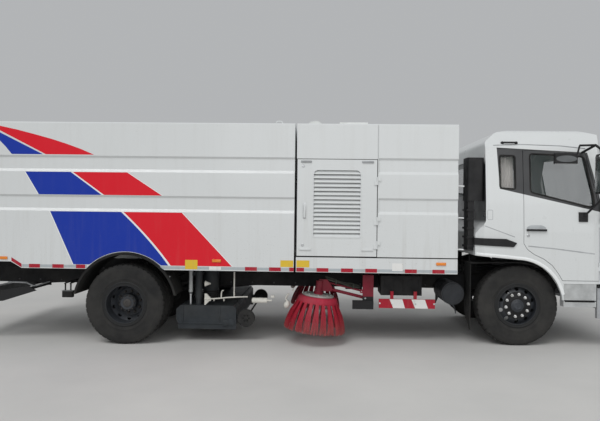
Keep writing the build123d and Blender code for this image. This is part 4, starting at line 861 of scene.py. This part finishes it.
for side in BOTH:
    faces.side = bolts.side = side
    faces.lathe(CASTER_FACE, (CASTER[0], 0, CASTER[1]), OUT, 40)
    faces.lathe([(24, 1000), (24, 1014), (16, 1018)], (CASTER[0], 0, CASTER[1]), OUT, 16)
    for x, z in circle(6, 40, *CASTER):
        bolts.lathe([(11, 1002), (11, 1006), (8, 1008)], (x, 0, z), OUT, 8)
faces.piece("caster_faces", "nozzle_wheels", tyre_rubber, 35, "rubber")
bolts.piece("caster_bolts", "nozzle_wheels", bare_steel, 40)
s = Shape()
for s.side in BOTH:
    for x0, x1, z0, z1 in ((650, 1390, 240, 262), (700, 716, 262, 470), (1180, 1196, 262, 470)):
        s.block(x0, x1, 1010.3, 1018, z0, z1, 2)
    s.block(1230, 1300, 1010.3, 1022, 215, 300, 5)
    s.lathe([(46, 1010.3), (46, 1018), (38, 1020)], (1340, 0, 268), OUT, 28)
    s.sheet([(640, 175), (1404, 175), (1404, 232), (650, 232)], 1004, 5)
    for x in range(700, 1400, 90):
        s.lathe([(7, 1018), (7, 1023), (5, 1024)], (x, 0, 251), OUT, 6)
s.piece("nozzle_edges", "suction_nozzle", nozzle_paint, 35)
s = Shape()
for s.side in BOTH:
    for z in range(500, 690, 24):
        s.lathe([(99, z - 8), (104, z - 3), (104, z + 3), (99, z + 8)], (1000, 620, 0), UP, 40)
s.piece("duct_ribs", "suction_nozzle", rubber, 50)

# Bright rods in the nozzle's lifting guides
LIFT_ROD = [(15.5, 470), (15.5, 608), (22, 610), (22, 622)]
LIFT_GUIDE = [(25, 640), (28, 646), (28, 668), (25.2, 674), (25.2, 900), (28, 906), (28, 930), (25, 936)]
for name, body, maker, rows, steps in (
    ("lift_rods", "suction_nozzle", bare_steel, LIFT_ROD, 16),
    ("lift_guides", "chassis", step_grey, LIFT_GUIDE, 20),
):
    s = Shape()
    for s.side in BOTH:
        s.lathe(rows, (790, 920, 0), UP, steps)
    s.piece(name, body, maker, 40)

# White jets beside the brushes, pipes behind the rear wheel and small boxes on the frame
s = Shape()
for s.side in BOTH:
    s.tube([(2086, 985, 652), (2062, 985, 618), (2046, 985, 584), (2068, 985, 556)], 11, 10, 4)
    s.lathe([(14, 0), (38, 34), (40, 60), (26, 92), (10, 100)], (2078, 985, 556), (-0.35, 0, -1), 20)
    s.lathe([(8, 0), (10, 22), (4, 46)], (2140, 960, 676), UP, 10)
s.piece("brush_jets", "chassis", spray_white, 40)
s = Shape()
for s.side in BOTH:
    s.tube([(-1668, 900, 727), (-1560, 900, 731), (-1417, 900, 727)], 11, 10, 4)
    s.block(-906, -758, 921, 989, 636, 642, 2)
    s.tube([(-1417, 900, 727), (-1360, 900, 700), (-1290, 900, 690), (-1200, 700, 720)], 9, 8, 4)
s.piece("rear_pipes", "chassis", steel_grey, 40)
s = Shape()
for s.side in BOTH:
    s.block(-903, -761, 925, 985, 552, 636, 8)
    s.block(-895, -769, 985, 988, 560, 628, 2)
    for x in (-868, -796):
        s.tube([(x, 955, 638), (x, 955, 716), (x, 930, 738), (x, 440, 742)], 10, 10, 5)
s.piece("rear_boxes", "chassis", chassis_black, 40)
# Lines along the rails: (from x, to x, y, z), sagging a little
FRAME_LINES = (
    (1450, 3040, 470, 905), (1500, 3040, 486, 872), (-1900, -900, 470, 905), (4250, 5900, 470, 905),
)
s = Shape()
for s.side in BOTH:
    for k, (x0, x1, y, z) in enumerate(FRAME_LINES):
        sags = [7 * math.sin(math.pi * t / 4) * (k + 1) for t in range(5)]
        s.tube([(x0 + (x1 - x0) * t / 4, y + 4 * math.sin(1.7 * t + k), z - sags[t]) for t in range(5)],
               8 + 2 * (k % 2), 8, 4)
s.piece("frame_hoses", "chassis", rubber, 60)
s = Shape()
for s.side in BOTH:
    for x in range(-2050, 6100, 300):
        if not 5050 < x < 5950:
            for z in (720, 890):
                s.lathe([(13, 0.3), (13, 3), (11, 4), (11, 12), (8, 13)], (x, 433, z), OUT, 6)
s.piece("rail_bolts", "chassis", engine_iron, 40)
s = Shape()
for s.side in BOTH:
    for axle, y0, y1, z, reach in ((WHEELBASE, 356, 432, 545, 55), (0, 484, 556, 587, 75)):
        for x in (axle - reach, axle + reach):
            s.tube([(x, y0, z - 120), (x, y0, z + 90), (x, (y0 + y1) / 2, z + 106), (x, y1, z + 90),
                    (x, y1, z - 120)], 9, 8, 4)
    for x in (4250, 5750):
        s.lathe([(32, 348), (32, 440), (14, 446)], (x, 0, 672), OUT, 20)
s.piece("spring_clips", "chassis", engine_iron, 40)
# Bolts of the arches' stays and of the mud flaps
s = Shape()
for s.side in BOTH:
    for x in (-537, 577):
        s.lathe([(14, 0), (14, 10), (10, 12)], (x, 1205, 866), UP, 8)
    for z in (1040, 980):
        for y in (830, 940, 1050):
            s.lathe([(9, 0), (9, 5), (6, 7)], (4405, y, z), AHEAD, 8)
s.piece("flap_bolts", "chassis", bare_steel, 40)

# Tail: blank plate, lamp lenses and reflective tape on the gate
GATE = -2372.25
s = Shape()
s.block(-2298, -2291, -220, 220, 480, 560, 2)
s.piece("rear_plate", "chassis", label_white, slot="steel_grey")
for name, maker, y0, y1 in (
    ("tail_red", lamp_red, 1052, 895.8),
    ("tail_amber", lamp_amber, 890.12, 830.48),
    ("tail_clear", lamp_clear, 824.8, 768),
):
    blocks(name, "chassis", maker, [(-2331, -2325, y0, y1, 472, 558)], 3, 40)
s = Shape()
for y in (-1180, -400, 400, 1180):
    for z in (1240, 1700, 2210, 2640):
        s.block(GATE - 0.35, GATE, y - 32, y + 32, z - 40, z + 40)
s.piece("gate_tape", "tailgate", tape_red)
s = Shape()
s.block(GATE - 0.25, GATE, -1140, 1140, 1184, 1214)
s.piece("gate_tape_low", "tailgate", tape_silver)

# Roof: beacon ring, vent slots, hatches and lifting eyes
s = Shape()
s.lathe([(150, ROOF + 0.3), (150, 2832), (143, 2838), (128, 2840)], (2405, -900, 0), UP, 48)
s.piece("beacon_base", "chassis", trim_black, 35)
s = Shape()
for x in range(2750, 3070, 40):
    s.block(x, x + 18, -1020, -780, 2872.3, 2876, 1)
s.piece("vent_slats", "chassis", step_grey, slot="body_white")
s = Shape()
for x in (-1100, 500):
    s.block(x, x + 900, -420, 420, ROOF + 0.3, 2842, 8)
for x in (-650, 950):
    for y in (-426, 426):
        s.block(x - 60, x + 60, y - 12, y + 12, ROOF + 0.3, 2850, 4)
s.piece("roof_hatches", "hopper", body_white, 35)
s = Shape()
for x in (-2150, 1950):
    for s.side in BOTH:
        s.tube([(x + far, 1150, z) for far, z in ((-40, ROOF), (-30, 2857), (30, 2857), (40, ROOF))], 9, 8, 4)
s.piece("lifting_eyes", "hopper", body_white, 40)


# What lies on the cab follows its curved skin: rays find the skin at a place seen from the side or front
def skin_of(*names):
    verts, faces = [], []
    for name in names:
        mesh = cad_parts[name].data
        base = len(verts)
        verts.extend(v.co.copy() for v in mesh.vertices)
        faces.extend([base + i for i in p.vertices] for p in mesh.polygons)
    return BVHTree.FromPolygons(verts, faces)


CAB_SKIN = skin_of("cab_shell", "right_door", "left_door")
GLASS_SKIN = skin_of("cab_glass", "right_door_glass", "left_door_glass")
LAMP_SKIN = skin_of("lamps")


# The place on a side, with y outwards
def on_side(x, z, side, lift=0.0):
    hit = CAB_SKIN.ray_cast(place(x, side * 1700, z), Vector((0, -side, 0)))[0]
    if hit is None:
        return None
    spot = TO_TRUCK @ hit
    return Vector((spot.x, side * spot.y + lift, spot.z))


def on_front(y, z, lift=0.0, skin=CAB_SKIN):
    start = place(6900, y, z)
    hit = skin.ray_cast(start, (place(6800, y, z) - start).normalized())[0]
    if hit is None:
        return None
    return TO_TRUCK @ hit + Vector((lift, 0, 0))


def rounded(points, radius, steps=5):
    out = []
    for i, p in enumerate(points):
        p = Vector(p)
        a = Vector(points[i - 1]) - p
        b = Vector(points[(i + 1) % len(points)]) - p
        r = min(radius, a.length / 2.2, b.length / 2.2)
        a, b = p + a.normalized() * r, p + b.normalized() * r
        for k in range(steps + 1):
            t = k / steps
            out.append(a * (1 - t) ** 2 + 2 * p * t * (1 - t) + b * t * t)
    return out


def grown(points, by):
    middle = sum((Vector(p) for p in points), Vector((0, 0))) / len(points)
    return [tuple(Vector(p) + (Vector(p) - middle).normalized() * by * 1.35) for p in points]


def divided(points, step, closed):
    out = []
    for a, b in zip(points, points[1:] + points[:1] if closed else points[1:]):
        n = max(1, int((Vector(b) - Vector(a)).length / step))
        out.extend(Vector(a).lerp(Vector(b), k / n) for k in range(n))
    return out if closed else out + [Vector(points[-1])]


DOOR_WINDOW = ((5117, 1996), (5117, 2473), (5768, 2440), (5868, 1960), (5880, 1810))
QUARTER_WINDOW = ((4736, 2053), (4736, 2446), (4916, 2440), (4916, 2040))
# Lines on the cab and its doors: (name, on the door, material, rows of points, width, height, closed, lift)
ARCH_TURNS = [math.radians(a) for a in range(2, 82, 5)]
ARCH_LIP = [(4450, 1213), (4600, 1203), (4800, 1187), (4930, 1172)]
ARCH_LIP += [(4950 + 578 * math.sin(a), 592 + 578 * math.cos(a)) for a in ARCH_TURNS]
CAB_LINES = (
    ("door_window_seal", True, rubber, ((rounded(grown(DOOR_WINDOW, 9), 40), 11, 5, True),)),
    ("window_seal", False, rubber, ((rounded(grown(QUARTER_WINDOW, 9), 30), 11, 5, True),)),
    # Grey beads along the creases paint the shade that falls in them
    ("door_crease", True, crease_shade, (
        ([(5076, 1324), (5400, 1296), (5895, 1237)], 4, 1.6),
        ([(5076, 1316), (5400, 1288), (5895, 1229)], 3, 1.2),
    )),
    ("cab_creases", False, crease_shade, (
        ([(4541, 1565), (4720, 1500), (4908, 1432)], 5, 1.6),
        ([(4660, 2585), (5000, 2600), (5500, 2584), (5800, 2552)], 6, 5, False, 2),
        (rounded([(4572, 1645), (4572, 1765), (4635, 1765), (4635, 1645)], 14), 3, 1.4, True),
    )),
    ("arch_lip", False, stripe_white, ((ARCH_LIP, 19, 5),)),
)
BOWL_ROWS, BOWL_COLUMNS = 8, 12
for word, side in SIDES:
    door = word + "_door"
    for name, on_door, maker, rows in CAB_LINES:
        s = Shape(side)
        for row in rows:
            s.side_bead(*row)
        s.piece(f"{word}_{name}", door if on_door else "cab", maker, 60)
    # Grey bowl over the door's handle, and its lock
    s = Shape(side)
    grid = []
    for i in range(BOWL_ROWS + 1):
        half = 118 * math.sqrt(max(0.0, 1 - (i / BOWL_ROWS - 0.1) ** 2 * 0.9))
        line = [5173 + half * (2 * k / BOWL_COLUMNS - 1) for k in range(BOWL_COLUMNS + 1)]
        grid.append([s.vert(on_side(x, 1538 + 44 * i / BOWL_ROWS, side, 0.8)) for x in line])
    s.skin(grid, False)
    s.piece(word + "_handle_bowl", door, bowl_grey, 60, turn=False)
    s = Shape(side)
    s.lathe([(19, -2), (19, 3), (15, 6), (5, 6), (4, 4)], on_side(5074, 1452, side), OUT, 24)
    s.piece(word + "_door_lock_cap", door, bare_steel, 35)
    # Handrail by the roof, marker lamps
    s = Shape(side)
    back, front = (on_side(x, 2618, side) for x in (4778, 4952))
    grip = [back + Vector(move) for move in ((0, -4, 0), (6, 26, 4), (40, 32, 4))]
    grip += [front + Vector(move) for move in ((-40, 32, 4), (-6, 26, 4), (0, -4, 0))]
    s.tube(grip, 11, 10, 5)
    for end in (back, front):
        s.lathe([(21, -4), (21, 7), (16, 11)], end, OUT, 20)
    s.piece(word + "_roof_grip", "cab", trim_black, 60)
    s = Shape(side)
    s.lathe([(34, -6), (34, 4), (28, 12), (12, 15)], on_side(6010, 1330, side), (0.25, 1, 0), 24)
    s.piece(word + "_repeater", "cab", lamp_amber, 40)
    s = Shape(side)
    for x in range(5556, 5890, 24):
        s.block(x, x + 10, 1096, 1198, 629.3, 633, 1)
    s.block(5524, 5918, 1203.3, 1206, 642, 652, 1)
    s.piece(word + "_step_treads", "cab", trim_black, 40)
    # Mirror glass in its surround, and the mirrors' clamps
    s = Shape(side)
    s.block(5836.6, 5834, 1320, 1510, 1992, 2438, 2)
    s.block(5340, 5608, 1301, 1349, 2341.6, 2339, 1)
    s.piece(word + "_mirror_glass", door, mirror_glass, 40, turn=False)
    # The kerb mirror's face: a flat grey sheet with a painted reflection
    s = Shape(side)
    s.sheet([(5474 + 126 * x, 2400 + 40 * z) for x, z in circle(24, 1)], 1355.3, 3)
    s.piece(word + "_kerb_mirror_face", door, kerb_mirror_grey, 40)
    s = Shape(side)
    for z in (2060, 2380):
        s.block(5858, 5886, 1386, 1414, z - 22, z + 22, 5)
    s.lathe([(26, 0), (28, 6), (28, 22), (20, 30)], (5745, 1196, 1690), OUT, 24)
    s.piece(word + "_mirror_clamps", door, trim_black, 40)

# Screen seal and two wipers
SCREEN_OUT = (1, 0, 0.2)
s = Shape()
corners = rounded([(-1006, 1794), (-1006, 2566), (1006, 2566), (1006, 1794)], 60)
s.bead([on_front(y, z, 1.0) for y, z in divided(corners, 40, True)], 13, 6, SCREEN_OUT, True)
for y in (-760, -60):
    line = [on_front(y + 520 * k / 8 * 0.95, 1822 + 60 * k / 8, 9, GLASS_SKIN) for k in range(9)]
    line = [p for p in line if p is not None]
    s.bead(line, 5, 8, SCREEN_OUT)
    pivot = on_front(y, 1768, 6)
    s.tube([pivot, pivot + Vector((26, 60, 34)), line[4] + Vector((16, 0, 0))], 7, 8, 5)
    s.lathe([(16, -8), (16, 14), (10, 20)], pivot, SCREEN_OUT, 16)
s.piece("screen_trim", "cab", rubber, 60)

# Nose: grille mesh, headlamps, blank plate and roof markers
s = Shape()
for z in range(1035, 1388, 88):
    for y in range(-806, 791, 28):
        spot = on_front(y, z + 33, 5)
        if spot is not None:
            s.block(spot.x, spot.x + 5, y - 2.5, y + 2.5, z + 2, z + 64)
s.piece("grille_mesh", "cab", trim_black)
LAMP_Z = 645
LENS = [(44, 0.4), (40, 3), (30, 6), (16, 7.6), (3, 8)]
frames, rings, lenses = Shape(), Shape(), Shape()
for side in BOTH:
    outline = rounded([(side * y, z) for y, z in ((716, 578), (974, 578), (974, 712), (716, 712))], 18)
    line = [on_front(y, z, 0.5, LAMP_SKIN) for y, z in divided(outline, 20, True)]
    frames.bead(line, 5, 4, AHEAD, True)
    for y in (780, 910):
        line = [on_front(ring_y, z, 0.5, LAMP_SKIN) for ring_y, z in circle(28, 50, side * y, LAMP_Z)]
        rings.bead(line, 5, 4, AHEAD, True)
        middle, outer, inner = (on_front(side * (y + far), LAMP_Z, 0, LAMP_SKIN) for far in (0, 30, -30))
        run = outer - inner
        lenses.lathe(LENS, middle, (abs(run.y), -run.x * side, 0), 32)
frames.piece("headlamp_frames", "chassis", trim_black, 60)
rings.piece("headlamp_rings", "chassis", bright_steel, 60)
lenses.piece("headlamp_lenses", "chassis", lamp_clear, 40)
s = Shape()
nose = on_front(0, 730, 0, skin_of("bumpers")).x
s.block(nose + 0.1, nose + 0.35, -240, 240, 694, 766)
s.piece("front_plate", "chassis", label_white, slot="steel_grey")
s = Shape()
for y in (-520, 0, 520):
    spot = on_front(y, 2680, -8)
    if spot is not None:
        s.block(spot.x - 30, spot.x + 16, y - 60, y + 60, spot.z - 14, spot.z + 26, 8)
s.piece("roof_markers", "cab", lamp_amber, 40)


# Seats: cushions swelled by a short cloth run under pressure, on plain moulded bases
PRESSURE = 4.0
VOXEL = 0.008
CLOTH_STEPS = 14


def settled(obj):
    mesh = bpy.data.meshes.new_from_object(obj.evaluated_get(bpy.context.evaluated_depsgraph_get()))
    obj.modifiers.clear()
    return mesh


# A cushion between limits, leaning with its height, that swells by no more than cap
def pad(name, side, limits, lean, cap):
    s = Shape(side)
    s.block(*limits, 22, 3)
    for v in s.bm.verts:
        v.co.x += lean * (v.co.z - limits[4])
    obj = s.in_scene(name)
    remesh = obj.modifiers.new("remesh", "REMESH")
    remesh.mode = "VOXEL"
    remesh.voxel_size = VOXEL
    obj.data = settled(obj)
    start = [v.co.copy() for v in obj.data.vertices]
    cloth = obj.modifiers.new("cloth", "CLOTH")
    cloth.settings.use_pressure = True
    cloth.settings.uniform_pressure_force = PRESSURE
    cloth.settings.effector_weights.gravity = 0.0
    cloth.settings.quality = 4
    for number in range(1, CLOTH_STEPS + 1):
        scene.frame_set(number)
    swelled = settled(obj)
    scene.frame_set(1)
    for v, old in zip(swelled.vertices, start):
        move = v.co - old
        if move.length > cap:
            v.co = old + move.normalized() * cap
    obj.data = swelled
    return obj


# Pads as (name, limits, lean, cap)
PADS = (
    ("_seat_pad", (5085, 5560, 272, 728, 1478, 1572), 0.0, 0.014),
    ("_back_pad", (5068, 5140, 284, 716, 1560, 2030), -0.20, 0.014),
    ("_head_pad", (4966, 5036, 370, 630, 2060, 2214), -0.15, 0.008),
)
for word, side in SIDES:
    pads = [pad(word + name, side, *rest) for name, *rest in PADS]
    base = Shape(side)
    base.block(5100, 5540, 292, 708, 1196, 1300, 10)
    for k in range(4):
        inset = 4 * (k % 2)
        base.block(5120 + inset, 5520 - inset, 302 + inset, 698 - inset, 1300 + 36 * k, 1334 + 36 * k, 12)
    base.block(5082, 5566, 276, 724, 1446, 1482, 12)
    for y in (440, 560):
        base.tube([(5010, y, 1990), (5000, y, 2080)], 6, 8)
    pedestal = base.piece(word + "_seat_base", "cab", trim_black, 40)
    for obj in pads:
        obj.data.materials.clear()
        obj.data.materials.append(seat_cloth.mat)
        obj.data.shade_smooth()
        smooth = obj.modifiers.new("smooth", "SUBSURF")
        smooth.levels = smooth.render_levels = 1
        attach(obj, "cab")
        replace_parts(obj, "cab_seats")
    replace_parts(pedestal, "cab_seats")
    # Piping round the pads
    s = Shape(side)
    for y, way in ((278, -5), (722, 5)):
        s.tube([(5096, y, 1556), (5320, y + way, 1566), (5552, y, 1558)], 4, 8, 6)
    s.piece(word + "_seat_piping", "cab", trim_black, 60)

# Pleated curtain on a rail behind the quarter window
FOLDS = 9
HUNG = 205
DROP = 0.415
GATHER = 1.9
RAIL_Y = -1030
CURTAIN_X = 4722


def fold_line(depth, phase):
    count = FOLDS * 12
    shares = [k / count for k in range(count + 1)]
    turns = [TURN * FOLDS * t + phase * math.sin(3.0 * t) for t in shares]
    return [(CURTAIN_X + HUNG * t, depth * math.sin(a)) for t, a in zip(shares, turns)]


def length_of(line):
    return sum(math.dist(a, b) for a, b in zip(line, line[1:]))


depth = 2.0
while length_of(fold_line(depth, 0.6)) < HUNG * GATHER:
    depth += 0.25
s = Shape()
rows = []
for j in range(25):
    t = j / 24
    z = 2447 - 1000 * DROP * t
    middle = -(1084 - 0.108 * (z - 2030)) + 1.2 * math.sin(2.2 * t)
    rows.append([s.vert((x, middle + y, z)) for x, y in fold_line(depth, 0.6 + 0.5 * t)])
s.skin(rows, False)
curtain = s.piece("quarter_curtain", "cab", curtain_cloth, 80, turn=False)
s = Shape()
s.tube([(CURTAIN_X - 10, RAIL_Y, 2456), (4940, RAIL_Y, 2456)], 5, 10)
for k in range(FOLDS):
    x = CURTAIN_X + HUNG * (k + 0.5) / FOLDS
    s.lathe([(7, -1.5), (8.5, 0), (7, 1.5), (5.6, 0)], (x, RAIL_Y, 2454), AHEAD, 12, True)
rail = s.piece("curtain_rail", "cab", bare_steel, 40)
wide = length_of(fold_line(depth, 0.6)) / 1000
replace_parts(curtain, "side_curtain")

# Camera, light and floor
camera = bpy.data.objects.new("camera", bpy.data.cameras.new("camera"))
camera.data.lens = 35.0
camera.data.sensor_width = 36.0
camera.location = (0.4724, -8.5601, 1.7109)
camera.rotation_euler = (math.pi / 2, -0.0027, 0.0307)
camera.data.clip_end = 200.0
scene.collection.objects.link(camera)
scene.camera = camera

floor_bm = bmesh.new()
bmesh.ops.create_grid(floor_bm, x_segments=8, y_segments=8, size=40.0)
floor_mesh = bpy.data.meshes.new("floor")
floor_bm.to_mesh(floor_mesh)
floor_bm.free()
floor = bpy.data.objects.new("floor", floor_mesh)
floor.location = (0, 0, -0.0005)
scene.collection.objects.link(floor)
ground = Maker("floor_pale")
ground.colour(ground.blotches(0.6, 6.0, (0.62, 0.61, 0.59), (0.55, 0.545, 0.53)))
ground.rough(ground.ramp(ground.noise(4.0, 5.0), 0.2, 0.8, 0.75, 0.92))
ground.bump((ground.noise(30.0, 5.0), 0.2, 0.003))
floor_mesh.materials.append(ground.mat)
floor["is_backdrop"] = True

world = bpy.data.worlds.new("world")
scene.world = world
world.use_nodes = True
sky = world.node_tree.nodes["Background"]
sky.inputs["Color"].default_value = (0.86, 0.88, 0.90, 1.0)
sky.inputs["Strength"].default_value = 0.52


def lamp(name, kind, energy, spot, aim, size):
    data = bpy.data.lights.new(name, kind)
    data.energy = energy
    if kind == "AREA":
        data.shape = "RECTANGLE"
        data.size, data.size_y = size
    else:
        data.angle = size
    obj = bpy.data.objects.new(name, data)
    obj.location = spot
    obj.rotation_euler = (Vector(aim) - Vector(spot)).to_track_quat("-Z", "Y").to_euler()
    scene.collection.objects.link(obj)


lamp("key", "SUN", 1.25, (-4, -8, 12), (0, 0, 1), 0.6)
lamp("fill", "AREA", 215, (3, -11, 5), (0, 0, 1.2), (12, 5))

scene.view_settings.view_transform = "Standard"

rows = [[[float(v) for v in corner] for corner in box] for box in (cad_box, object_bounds())]
